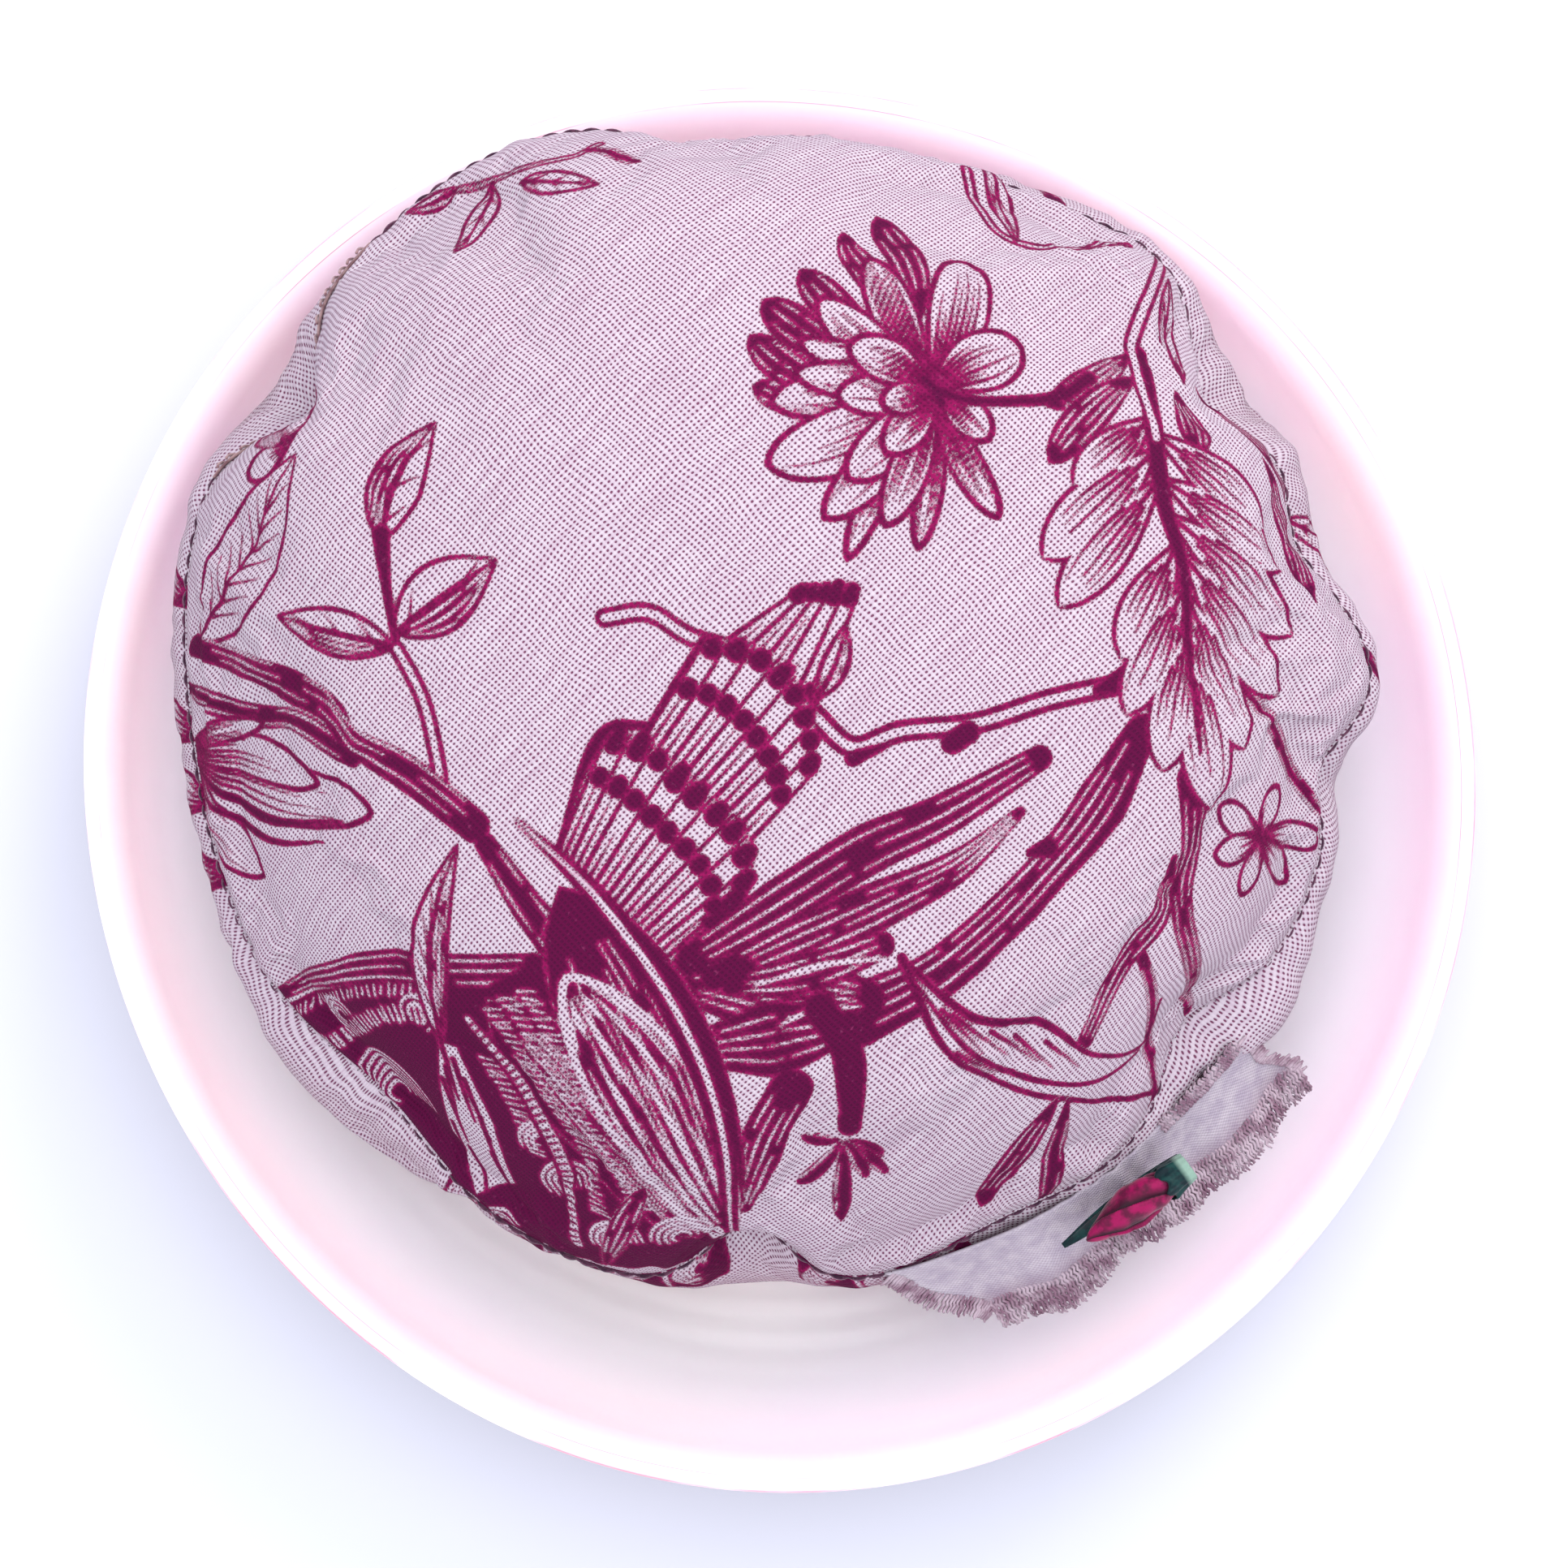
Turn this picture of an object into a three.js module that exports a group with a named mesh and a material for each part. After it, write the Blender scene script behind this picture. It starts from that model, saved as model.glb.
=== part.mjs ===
// A round pin cushion, sewn from two cloth panels and stuffed, lying loose in a hand-thrown dish.
// Millimetres, +Z up. The origin is the centre of the dish's foot, on the table.
import * as THREE from "three";
import { mergeVertices } from "three/addons/utils/BufferGeometryUtils.js";

const GAP = 0.3; // clearance between pieces that touch
const TURN = 2 * Math.PI;

const DISH = {
  rimRadius: 75.8,
  height: 26,
  footRadius: 41,
  footHeight: 2,
  footBevel: 0.6,
  floorHeight: 4.6,
  floorRadius: 54,
  wallRadius: 72.2,
  wallHeight: 17,
  wallThickness: 2.4,
  lipThickness: 1.7,
  steps: 60,
};
// Out-of-round of the thrown dish at its rim: lobes, size in mm and the angle of the first crest.
const DISH_LOBES = [
  { count: 1, size: 0.9, crest: 58 },
  { count: 2, size: 1, crest: -60 },
  { count: 3, size: 0.4, crest: 26 },
];

const CUSHION = {
  centre: new THREE.Vector2(-0.6, 7.8),
  radius: 62.9,
  seamHeight: 30,
  rise: 27,
  drop: 27,
  topFullness: 2.3,
  baseFullness: 2.7,
  cloth: 0.6,
  allowance: 7,
  fillingSlack: 0.5,
  steps: 90,
};
const RADIUS = CUSHION.radius;
// Out-of-round of the hand-cut panels.
const CUSHION_LOBES = [
  { count: 1, size: 2, crest: 106 },
  { count: 2, size: 0.8, crest: -79 },
  { count: 3, size: 0.8, crest: 16 },
];
const SEAM_GROOVE = { depth: 1.3, halfHeight: 2 };
const GATHER_HALF_HEIGHT = 9;
// Where the seam is drawn in: angle and half-width in degrees, depth in mm. One place is let out.
const GATHERS = [
  { angle: 16, depth: 2.8, width: 8 },
  { angle: 35, depth: 5.2, width: 9 },
  { angle: 96, depth: 2.8, width: 8 },
  { angle: 118, depth: -2, width: 14 },
  { angle: 147, depth: 5.8, width: 9 },
  { angle: 226, depth: 3.2, width: 12 },
  { angle: 268, depth: 5.2, width: 9 },
  { angle: 322, depth: 4.4, width: 9 },
  { angle: 353, depth: 1.8, width: 8 },
];
// The lower panel swells out below the seam, most where the seam is drawn in. It is held in
// where it leans on the dish's wall.
const SWELL = { everywhere: 2.4, below: 9 };
const SWELLS = [
  { angle: 35, depth: 1.5, width: 12 },
  { angle: 100, depth: -5, width: 40 },
  { angle: 150, depth: 1.5, width: 9 },
  { angle: 222, depth: 7, width: 20 },
  { angle: 240, depth: -3.4, width: 42 },
  { angle: 267, depth: 2.5, width: 9 },
  { angle: 326, depth: 4.2, width: 11 },
];

const THREAD_SIDES = 6;
const MACHINE_STITCH = { radius: 0.35, standOff: 0.7, steps: 72 };
const CLOSING_STITCH = { start: 131, end: 156, count: 12, radius: 0.3, reach: 1.3, standOff: 1.2 };

// The trim is tacked under the seam; its own frame is X along the seam, Y up, Z outwards.
const TRIM = { angle: 306, radius: 62.9, belowSeam: 3, lean: 46 };
const RIBBON = { length: 53, width: 14.5, thickness: 0.8, above: 2.6, follow: 2.2, flare: 1 };
const LEAF = { length: 16, width: 4.6, thickness: 0.6, lift: 0.9 };
const BUD = { length: 11.6, radius: 3.1, waist: 0.55, swirl: 0.35, folds: 3, foldDepth: 0.1 };

const radians = THREE.MathUtils.degToRad;

function closedSolid(geometry) {
  geometry.deleteAttribute("normal");
  geometry.deleteAttribute("uv");
  const solid = mergeVertices(geometry, 1e-4);
  solid.computeVertexNormals();
  return solid;
}

function moveVertices(geometry, move) {
  const position = geometry.getAttribute("position");
  const point = new THREE.Vector3();
  for (let i = 0; i < position.count; i += 1) {
    point.fromBufferAttribute(position, i);
    move(point);
    position.setXYZ(i, point.x, point.y, point.z);
  }
  return geometry;
}

// Growth of an out-of-round outline at an angle.
function lobed(lobes, angle) {
  let growth = 0;
  for (const { count, size, crest } of lobes) {
    growth += size * Math.cos(count * (angle - radians(crest)));
  }
  return growth;
}

// A closed profile of radius and height, turned about the Z axis.
function turned(profile, steps) {
  return new THREE.LatheGeometry(profile, steps).rotateX(Math.PI / 2);
}

function namedMesh(name, geometry, color, roughness) {
  const material = new THREE.MeshStandardMaterial({ color, roughness, metalness: 0 });
  const mesh = new THREE.Mesh(closedSolid(geometry), material);
  mesh.name = name;
  return mesh;
}

// ---- Dish -------------------------------------------------------------------------------------

function dishProfile() {
  const { floorHeight: floor, wallRadius: wall, wallHeight, height, rimRadius: rim } = DISH;
  const outerWall = wall + DISH.wallThickness;
  const lip = DISH.lipThickness;
  const outline = new THREE.Path();
  outline.moveTo(0, 0);
  outline.lineTo(DISH.footRadius - DISH.footBevel, 0);
  outline.lineTo(DISH.footRadius, DISH.footBevel);
  outline.lineTo(DISH.footRadius, DISH.footHeight);
  outline.bezierCurveTo(wall - 8, DISH.footHeight + 0.3, outerWall - 0.8, 7, outerWall, wallHeight);
  outline.quadraticCurveTo(outerWall + 0.3, height - 4, rim, height - lip / 2);
  outline.absarc(rim - lip / 2, height - lip / 2, lip / 2, 0, Math.PI, false);
  outline.quadraticCurveTo(wall + 0.3, height - 4, wall, wallHeight);
  outline.bezierCurveTo(wall - 0.7, 9, wall - 6, floor + 0.3, DISH.floorRadius, floor);
  outline.lineTo(0, floor - 0.2);
  return outline.getPoints(4);
}

function dish() {
  const geometry = turned(dishProfile(), DISH.steps);
  moveVertices(geometry, (point) => {
    const angle = Math.atan2(point.y, point.x);
    const radius = Math.hypot(point.x, point.y);
    const share = Math.max(0, (radius - DISH.footRadius) / (DISH.rimRadius - DISH.footRadius));
    const grown = radius + share * lobed(DISH_LOBES, angle);
    point.x = grown * Math.cos(angle);
    point.y = grown * Math.sin(angle);
  });
  return namedMesh("dish", geometry, 0xf6e4ea, 0.45);
}

// ---- Cushion ----------------------------------------------------------------------------------
// Each cushion piece is drawn round: radius and height are measured from the centre of its seam.
// The same mapping then gives all of them the gathered outline, so the clearances stay.

function depthAt(places, angle) {
  let depth = 0;
  for (const place of places) {
    const away = THREE.MathUtils.euclideanModulo(angle - radians(place.angle) + Math.PI, TURN) - Math.PI;
    depth += place.depth * Math.exp(-((away / radians(place.width)) ** 2));
  }
  return depth;
}

function grooveDepth(height) {
  return SEAM_GROOVE.depth * Math.exp(-((height / SEAM_GROOVE.halfHeight) ** 2));
}

// How far the panel stands out at a height: nothing at the seam, most at SWELL.below.
function swellAt(angle, height) {
  const level = (Math.min(0, height) / SWELL.below) ** 2;
  return (SWELL.everywhere + depthAt(SWELLS, angle)) * level * Math.exp(1 - level);
}

function cushionPoint(angle, radius, height) {
  const share = radius / RADIUS;
  const near = Math.exp(-((height / GATHER_HALF_HEIGHT) ** 2));
  const round = radius + share * lobed(CUSHION_LOBES, angle);
  const drawn = round - share ** 3 * near * depthAt(GATHERS, angle) + share ** 4 * swellAt(angle, height);
  return new THREE.Vector3(
    CUSHION.centre.x + drawn * Math.cos(angle),
    CUSHION.centre.y + drawn * Math.sin(angle),
    CUSHION.seamHeight + height,
  );
}

function gathered(profile) {
  const geometry = turned(profile, CUSHION.steps);
  return moveVertices(geometry, (point) => {
    const radius = Math.hypot(point.x, point.y);
    const groove = grooveDepth(point.z) * (radius / RADIUS) ** 3;
    point.copy(cushionPoint(Math.atan2(point.y, point.x), radius - groove, point.z));
  });
}

// One half of the cushion's section, from the seam's edge to the axis.
// inset is measured inwards from the outside of the cloth, start from the seam's plane.
function halfSection(inset, start, rise, fullness, flatAt) {
  const rows = [90, 88.6, 85.5, 80, 72, 61, 47, 29, 0];
  return rows.map((row) => {
    const radius = (RADIUS - inset) * Math.sin(radians(row)) ** (2 / fullness);
    const crown = (rise - inset - start) * Math.cos(radians(row)) ** (2 / fullness);
    return new THREE.Vector2(row === 0 ? 0 : radius, Math.min(start + crown, flatAt - inset));
  });
}

function topHalf(inset, start) {
  return halfSection(inset, start, CUSHION.rise, CUSHION.topFullness, Infinity);
}

// The base is flat where it rests on the dish's floor.
function baseHalf(inset, start) {
  const flatAt = CUSHION.seamHeight - DISH.floorHeight - GAP;
  return halfSection(inset, start, CUSHION.drop, CUSHION.baseFullness, flatAt);
}

// A cloth panel with its seam allowance turned in.
function panelSection(half) {
  const seamFace = GAP / 2;
  const innerFace = seamFace + CUSHION.cloth;
  const allowanceEdge = RADIUS - CUSHION.allowance;
  return [
    ...half(0, seamFace).reverse(),
    new THREE.Vector2(allowanceEdge, seamFace),
    new THREE.Vector2(allowanceEdge, innerFace),
    ...half(CUSHION.cloth, innerFace),
  ];
}

function turnedOver(section) {
  return section.map((point) => new THREE.Vector2(point.x, -point.y)).reverse();
}

function topPanel() {
  return namedMesh("top_panel", gathered(panelSection(topHalf).reverse()), 0xead9e4, 0.9);
}

function bottomPanel() {
  const section = turnedOver(panelSection(baseHalf).reverse());
  return namedMesh("bottom_panel", gathered(section), 0xe6dce6, 0.9);
}

function filling() {
  const inset = CUSHION.cloth + GAP + CUSHION.fillingSlack;
  const slot = GAP / 2 + inset;
  const slotEnd = RADIUS - CUSHION.allowance - GAP - SEAM_GROOVE.depth;
  const section = [
    ...turnedOver(baseHalf(inset, slot)),
    new THREE.Vector2(slotEnd, -slot),
    new THREE.Vector2(slotEnd, slot),
    ...topHalf(inset, slot),
  ];
  return namedMesh("filling", gathered(section), 0xf3efe6, 1);
}

// ---- Sewing thread ----------------------------------------------------------------------------

function thread(points, radius, steps) {
  const section = new THREE.Shape().absarc(0, 0, radius, 0, TURN, false);
  const path = new THREE.CatmullRomCurve3(points);
  return new THREE.ExtrudeGeometry(section, {
    extrudePath: path,
    steps,
    curveSegments: THREAD_SIDES / 2,
    bevelEnabled: false,
  });
}

function alongSeam(start, end, count, standOff, heightOf) {
  const points = [];
  for (let i = 0; i <= count; i += 1) {
    const angle = radians(start + ((end - start) * i) / count);
    const radius = RADIUS - SEAM_GROOVE.depth + standOff;
    points.push(cushionPoint(angle, radius, heightOf(i)));
  }
  return points;
}

// The machine-sewn part of the seam: all of it but the gap left for the filling.
function seamThread() {
  const { start, end } = CLOSING_STITCH;
  const { radius, standOff, steps } = MACHINE_STITCH;
  const points = alongSeam(end + 1.5, start + 360 - 1.5, steps, standOff, () => 0);
  return namedMesh("seam_thread", thread(points, radius, steps), 0x5a3346, 0.8);
}

// The gap, closed by hand with a thread that crosses the seam from panel to panel.
function closingStitches() {
  const { start, end, count, radius, reach, standOff } = CLOSING_STITCH;
  const points = alongSeam(start, end, count, standOff, (i) => (i % 2 ? reach : -reach));
  return namedMesh("closing_stitches", thread(points, radius, count * 3), 0x9a6470, 0.8);
}

// ---- Trim: a frayed ribbon with a ribbon rosebud ------------------------------------------------

// Torn cloth ribbon, pinched at the bud, its free ends standing off the cushion.
function frayedRibbon() {
  const { length, width, thickness, above, follow, flare } = RIBBON;
  const geometry = new THREE.BoxGeometry(length, width, thickness, 14, 4, 1);
  moveVertices(geometry, (point) => {
    const along = (2 * point.x) / length;
    const across = 0.5 - point.y / width;
    const pinch = 0.72 + 0.28 * Math.min(1, Math.abs(along) * 1.6);
    point.y = above - across * width * pinch;
    point.z += flare * across * along ** 2 - follow * Math.min(0, along) ** 2;
  });
  return namedMesh("frayed_ribbon", geometry, 0xb7a3b3, 0.95);
}

// A green ribbon laid under the bud: a pointed tip at one end, a stub at the other.
function rosebudLeaf() {
  const { length, width, thickness, lift } = LEAF;
  const geometry = new THREE.BoxGeometry(length, width, thickness, 10, 3, 1);
  moveVertices(geometry, (point) => {
    const along = (2 * point.x) / length;
    const taper = along < 0 ? Math.sqrt(Math.max(0.03, 1 - along ** 2)) : 1;
    point.y = point.y * taper + 0.3;
    point.z += lift + 1.1 * Math.max(0, Math.abs(along) - 0.6);
  });
  return namedMesh("rosebud_leaf", geometry, 0x1f5f57, 0.5);
}

// Satin ribbon rolled into a bud, lying on its side.
function rosebud() {
  const { length, radius, waist, swirl, folds, foldDepth } = BUD;
  const profile = [];
  for (let row = 0; row <= 12; row += 1) {
    const share = row / 12;
    const belly = Math.sin(Math.PI * share) ** waist;
    const onAxis = row === 0 || row === 12;
    profile.push(new THREE.Vector2(onAxis ? 0 : radius * belly, (share - 0.5) * length));
  }
  const geometry = new THREE.LatheGeometry(profile, 18);
  moveVertices(geometry, (point) => {
    const angle = Math.atan2(point.z, point.x) * folds + point.y * swirl * folds;
    const grown = 1 - foldDepth * (0.5 + 0.5 * Math.sin(angle));
    point.x *= grown;
    point.z *= grown;
  });
  geometry.rotateZ(Math.PI / 2);
  geometry.translate(0, 0.5, LEAF.lift + LEAF.thickness / 2 + GAP + radius);
  return namedMesh("rosebud", geometry, 0xb3145a, 0.4);
}

function trim() {
  const angle = radians(TRIM.angle);
  const lean = radians(TRIM.lean);
  const along = new THREE.Vector3(-Math.sin(angle), Math.cos(angle), 0);
  const out = new THREE.Vector3(Math.cos(angle), Math.sin(angle), 0);
  const up = out.clone().multiplyScalar(-Math.cos(lean)).setZ(Math.sin(lean));
  const normal = new THREE.Vector3().crossVectors(along, up);
  const group = new THREE.Group();
  group.name = "trim";
  group.setRotationFromMatrix(new THREE.Matrix4().makeBasis(along, up, normal));
  group.position.set(
    CUSHION.centre.x + TRIM.radius * out.x,
    CUSHION.centre.y + TRIM.radius * out.y,
    CUSHION.seamHeight - TRIM.belowSeam,
  );
  group.add(frayedRibbon(), rosebudLeaf(), rosebud());
  return group;
}

// ---- Assembly ---------------------------------------------------------------------------------

function cushion() {
  const group = new THREE.Group();
  group.name = "cushion";
  group.add(bottomPanel(), topPanel(), filling(), seamThread(), closingStitches(), trim());
  return group;
}

const pinCushion = new THREE.Group();
pinCushion.name = "pin_cushion";
pinCushion.add(dish(), cushion());

export default pinCushion;
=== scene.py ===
"""A round stuffed pin cushion lying in a hand-thrown dish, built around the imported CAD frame."""
import math

import bmesh
import bpy
import numpy as np
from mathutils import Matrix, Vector


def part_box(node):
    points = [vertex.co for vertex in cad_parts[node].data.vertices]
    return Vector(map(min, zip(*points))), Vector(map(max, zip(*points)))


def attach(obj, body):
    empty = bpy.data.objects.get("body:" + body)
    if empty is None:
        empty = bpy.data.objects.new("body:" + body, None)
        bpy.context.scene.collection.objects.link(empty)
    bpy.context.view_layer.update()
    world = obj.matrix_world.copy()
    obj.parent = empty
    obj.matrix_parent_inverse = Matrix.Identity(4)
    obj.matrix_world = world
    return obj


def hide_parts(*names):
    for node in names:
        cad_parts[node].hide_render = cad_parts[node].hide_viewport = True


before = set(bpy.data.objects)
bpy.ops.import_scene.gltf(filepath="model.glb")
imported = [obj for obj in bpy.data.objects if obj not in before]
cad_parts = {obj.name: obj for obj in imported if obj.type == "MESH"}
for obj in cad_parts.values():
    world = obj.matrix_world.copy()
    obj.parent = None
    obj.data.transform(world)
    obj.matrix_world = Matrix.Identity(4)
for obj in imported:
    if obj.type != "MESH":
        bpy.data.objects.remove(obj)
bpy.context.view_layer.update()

MM = 0.001
RNG = np.random.default_rng(7)


def box_mm(node):
    """A CAD node's lowest and highest corners, in millimetres."""
    lo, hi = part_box(node)
    return np.array(lo) / MM, np.array(hi) / MM


# ---- Driving dimensions, in millimetres ---------------------------------------------------------

DISH_HEIGHT = box_mm("dish")[1][2]
CUSHION_LOW = box_mm("bottom_panel")[0][2]
CUSHION_HIGH = box_mm("top_panel")[1][2]
SEAM_HEIGHT = (box_mm("bottom_panel")[1][2] + box_mm("top_panel")[0][2]) / 2
CENTRE = np.array([-0.6, 7.8])

# The seam's outline: radius, then lobes as (count, size, crest in degrees).
SEAM_RADIUS = 62.9
SEAM_LOBES = ((1, 2.0, 106), (2, 0.8, -79), (3, 0.8, 16))
# Where the seam is drawn in: (angle, depth, half-width in degrees). A depth below 0 lets it out.
GATHERS = (
    (3, -2.4, 7), (18, 3.6, 7), (35, 7.0, 7), (50, -1.4, 7), (80, 2.4, 20), (97, 3.2, 7),
    (118, -1.4, 14), (147, 8.4, 6), (163, -1.2, 14), (226, 3.4, 12), (268, 7.4, 6), (294, 1.2, 8),
    (322, 4.8, 8), (353, 3.0, 5),
)
# The seam's rise and fall, as lobes too, and its lift for each millimetre that it is drawn in.
SEAM_WAVES = ((3, 0.7, -40 / 3), (7, 0.5, 25 / 7))
LIFT_AT_GATHER = 0.18
# How far the lower panel swells past the seam: everywhere, then (angle, extra, half-width).
LOWER_SWELL = 2.6
LOWER_SWELLS = (
    (37, 1.2, 10), (98, -4.0, 34), (148, 2.5, 8), (222, 6.5, 20), (240, -3.6, 42), (266, 3.0, 8),
    (326, 4.5, 10),
)
UPPER_SWELL = -1.2
FULLEST_LEVEL = 0.33  # share of a panel's height at which it swells the most
TOP_FULLNESS = 2.3
BASE_FULLNESS = 2.7

CAMERA_DISTANCE = 420.0
CAMERA_TILT = 5.0
CAMERA_TARGET = np.array([1.05, -0.18, 26.0])
VIEW_WIDTH = 169.5  # what the frame spans at the target
BRIGHTNESS = 2.9  # light on an open face that looks up, as a share of what shows white as white


# ---- Small helpers ------------------------------------------------------------------------------

def srgb(red, green, blue):
    """A display colour from 0 to 255 as linear light."""
    def linear(value):
        share = value / 255
        return share / 12.92 if share <= 0.04045 else ((share + 0.055) / 1.055) ** 2.4
    return (linear(red), linear(green), linear(blue), 1.0)


def shown(red, green, blue):
    """The surface colour that shows as this display colour where a face looks up at the light."""
    lit = srgb(red, green, blue)
    return (lit[0] / BRIGHTNESS, lit[1] / BRIGHTNESS, lit[2] / BRIGHTNESS, 1.0)


def bells(angle, places):
    """The sum of bells round the circle, each (angle, height, half-width); angles in degrees."""
    total = 0 * angle
    for centre, height, half_width in places:
        away = (angle - centre + 180) % 360 - 180
        total = total + height * np.exp(-((away / half_width) ** 2))
    return total


def waves(angle, lobes):
    """The sum of waves round the circle, each (count, size, crest); angles in degrees."""
    return sum(size * np.cos(count * np.radians(angle - crest)) for count, size, crest in lobes)


def smooth_step(low, high, value):
    """0 below the low value, 1 above the high one, and a smooth rise between them."""
    share = np.clip((value - low) / (high - low), 0, 1)
    return share * share * (3 - 2 * share)


def unit(vector):
    """The vector at length 1, or at length 0 if it has no direction."""
    return vector / np.maximum(np.linalg.norm(vector, axis=-1, keepdims=True), 1e-12)


def piece_from(name, points_mm, faces):
    """A smooth closed mesh object from points in millimetres, with its faces turned outwards."""
    mesh = bpy.data.meshes.new(name)
    points = np.asarray(points_mm, dtype=float) * MM
    mesh.from_pydata(points.tolist(), [], faces)
    mesh.update()
    closed = bmesh.new()
    closed.from_mesh(mesh)
    bmesh.ops.recalc_face_normals(closed, faces=closed.faces)
    closed.to_mesh(mesh)
    closed.free()
    mesh.shade_smooth()
    obj = bpy.data.objects.new(name, mesh)
    bpy.context.scene.collection.objects.link(obj)
    return obj


def grid_faces(rows, columns, start=0, wrap=False):
    """Quads of a rows by columns grid of points numbered row by row."""
    faces = []
    for i in range(start, start + (rows - 1) * columns, columns):
        for j in range(columns if wrap else columns - 1):
            k = (j + 1) % columns
            faces.append((i + j, i + columns + j, i + columns + k, i + k))
    return faces


def tube_faces(rows, columns, start=0):
    """Faces of a closed tube: rows of ring points, with a cap on the first and the last ring."""
    last = start + (rows - 1) * columns
    caps = [tuple(range(start, start + columns)), tuple(range(last, last + columns))]
    return grid_faces(rows, columns, start, wrap=True) + caps


def border(rows, columns):
    """Numbers of a grid's edge points, in order round the edge."""
    index = np.arange(rows * columns).reshape(rows, columns)
    sides = (index[:-1, 0], index[-1, :-1], index[:0:-1, -1], index[0, :0:-1])
    return [int(k) for side in sides for k in side]


def thin_sheet(name, front, back):
    """A closed sheet between two grids of points."""
    rows, columns = front.shape[:2]
    size = rows * columns
    loop = border(rows, columns)
    faces = grid_faces(rows, columns) + grid_faces(rows, columns, start=size)
    faces += [(a, b, b + size, a + size) for a, b in zip(loop, loop[1:] + loop[:1])]
    return piece_from(name, np.vstack([front.reshape(-1, 3), back.reshape(-1, 3)]), faces)


def mark(piece, name, values):
    """Stores one number for each point of a piece, for its material to read."""
    layer = piece.data.attributes.new(name, "FLOAT", "POINT")
    layer.data.foreach_set("value", values)


def mark_cloth(piece, places):
    """Stores each point's place on the flat cloth, in millimetres."""
    layer = piece.data.attributes.new("cloth", "FLOAT_VECTOR", "POINT")
    layer.data.foreach_set("vector", np.column_stack([places, np.zeros(len(places))]).ravel())


# ---- Material nodes -----------------------------------------------------------------------------

class Shader:
    """A material and short names for the nodes that it is made of."""

    GLOSSY = 0.35  # rougher surfaces than this barely mirror the bright room
    GLOSSY_SPECULAR = 0.5
    MATT_SPECULAR = 0.08

    def __init__(self, name, roughness=0.9, sheen=0.0):
        self.material = bpy.data.materials.new(name)
        self.material.use_nodes = True
        self.tree = self.material.node_tree
        self.surface = self.tree.nodes["Principled BSDF"]
        self.surface.inputs["Roughness"].default_value = roughness
        self.surface.inputs["Sheen Weight"].default_value = sheen
        specular = self.GLOSSY_SPECULAR if roughness < self.GLOSSY else self.MATT_SPECULAR
        self.surface.inputs["Specular IOR Level"].default_value = specular

    def node(self, kind, **settings):
        made = self.tree.nodes.new(kind)
        for key, value in settings.items():
            setattr(made, key, value)
        return made

    def plug(self, socket, value):
        if isinstance(value, bpy.types.NodeSocket):
            self.tree.links.new(value, socket)
        else:
            socket.default_value = value

    def math(self, operation, first, second=0.0, third=0.0):
        made = self.node("ShaderNodeMath", operation=operation)
        for socket, value in zip(made.inputs, (first, second, third)):
            self.plug(socket, value)
        return made.outputs[0]

    def plus(self, first, second):
        return self.math("ADD", first, second)

    def minus(self, first, second):
        return self.math("SUBTRACT", first, second)

    def times(self, first, second):
        return self.math("MULTIPLY", first, second)

    def step(self, value, low, high):
        made = self.node("ShaderNodeMapRange", interpolation_type="SMOOTHSTEP")
        for name, given in (("Value", value), ("From Min", low), ("From Max", high)):
            self.plug(made.inputs[name], given)
        return made.outputs["Result"]

    def mix(self, share, first, second, blend="MIX"):
        made = self.node("ShaderNodeMix", data_type="RGBA", blend_type=blend)
        self.plug(made.inputs[0], share)
        self.plug(made.inputs[6], first)
        self.plug(made.inputs[7], second)
        return made.outputs[2]

    def noise(self, vector, scale, detail=2.0, roughness=0.5):
        made = self.node("ShaderNodeTexNoise")
        self.plug(made.inputs["Vector"], vector)
        self.plug(made.inputs["Scale"], scale)
        self.plug(made.inputs["Detail"], detail)
        self.plug(made.inputs["Roughness"], roughness)
        return made.outputs["Fac"]

    def noise_tones(self, vector, scale, low, high, first, second):
        """Two colours in cloudy patches."""
        return self.mix(self.step(self.noise(vector, scale, 3.0, 0.6), low, high), first, second)

    def mark(self, name):
        """The number that a piece's points store under this name."""
        return self.node("ShaderNodeAttribute", attribute_name=name).outputs["Fac"]

    def flat_cloth(self):
        """The place on the flat cloth, in millimetres."""
        return self.node("ShaderNodeAttribute", attribute_name="cloth").outputs["Vector"]

    def place(self):
        return self.node("ShaderNodeTexCoord").outputs["Object"]

    def scaled(self, vector, factors):
        made = self.node("ShaderNodeVectorMath", operation="MULTIPLY")
        self.plug(made.inputs[0], vector)
        made.inputs[1].default_value = factors
        return made.outputs[0]

    def colour(self, value):
        self.plug(self.surface.inputs["Base Color"], value)

    def relief(self, height, distance, strength=1.0):
        made = self.node("ShaderNodeBump")
        made.inputs["Strength"].default_value = strength
        made.inputs["Distance"].default_value = distance * MM
        self.plug(made.inputs["Height"], height)
        self.plug(self.surface.inputs["Normal"], made.outputs[0])


# ---- Camera, light and floor --------------------------------------------------------------------

def make_camera():
    data = bpy.data.cameras.new("camera")
    camera = bpy.data.objects.new("camera", data)
    bpy.context.scene.collection.objects.link(camera)
    tilt = math.radians(CAMERA_TILT)
    back = np.array([0.0, -math.sin(tilt), math.cos(tilt)])
    camera.location = (CAMERA_TARGET + CAMERA_DISTANCE * back) * MM
    camera.rotation_euler = (tilt, 0.0, 0.0)
    data.sensor_width = 36.0
    data.lens = data.sensor_width * CAMERA_DISTANCE / VIEW_WIDTH
    data.clip_start = 0.01
    data.clip_end = 20.0
    bpy.context.scene.camera = camera


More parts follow.
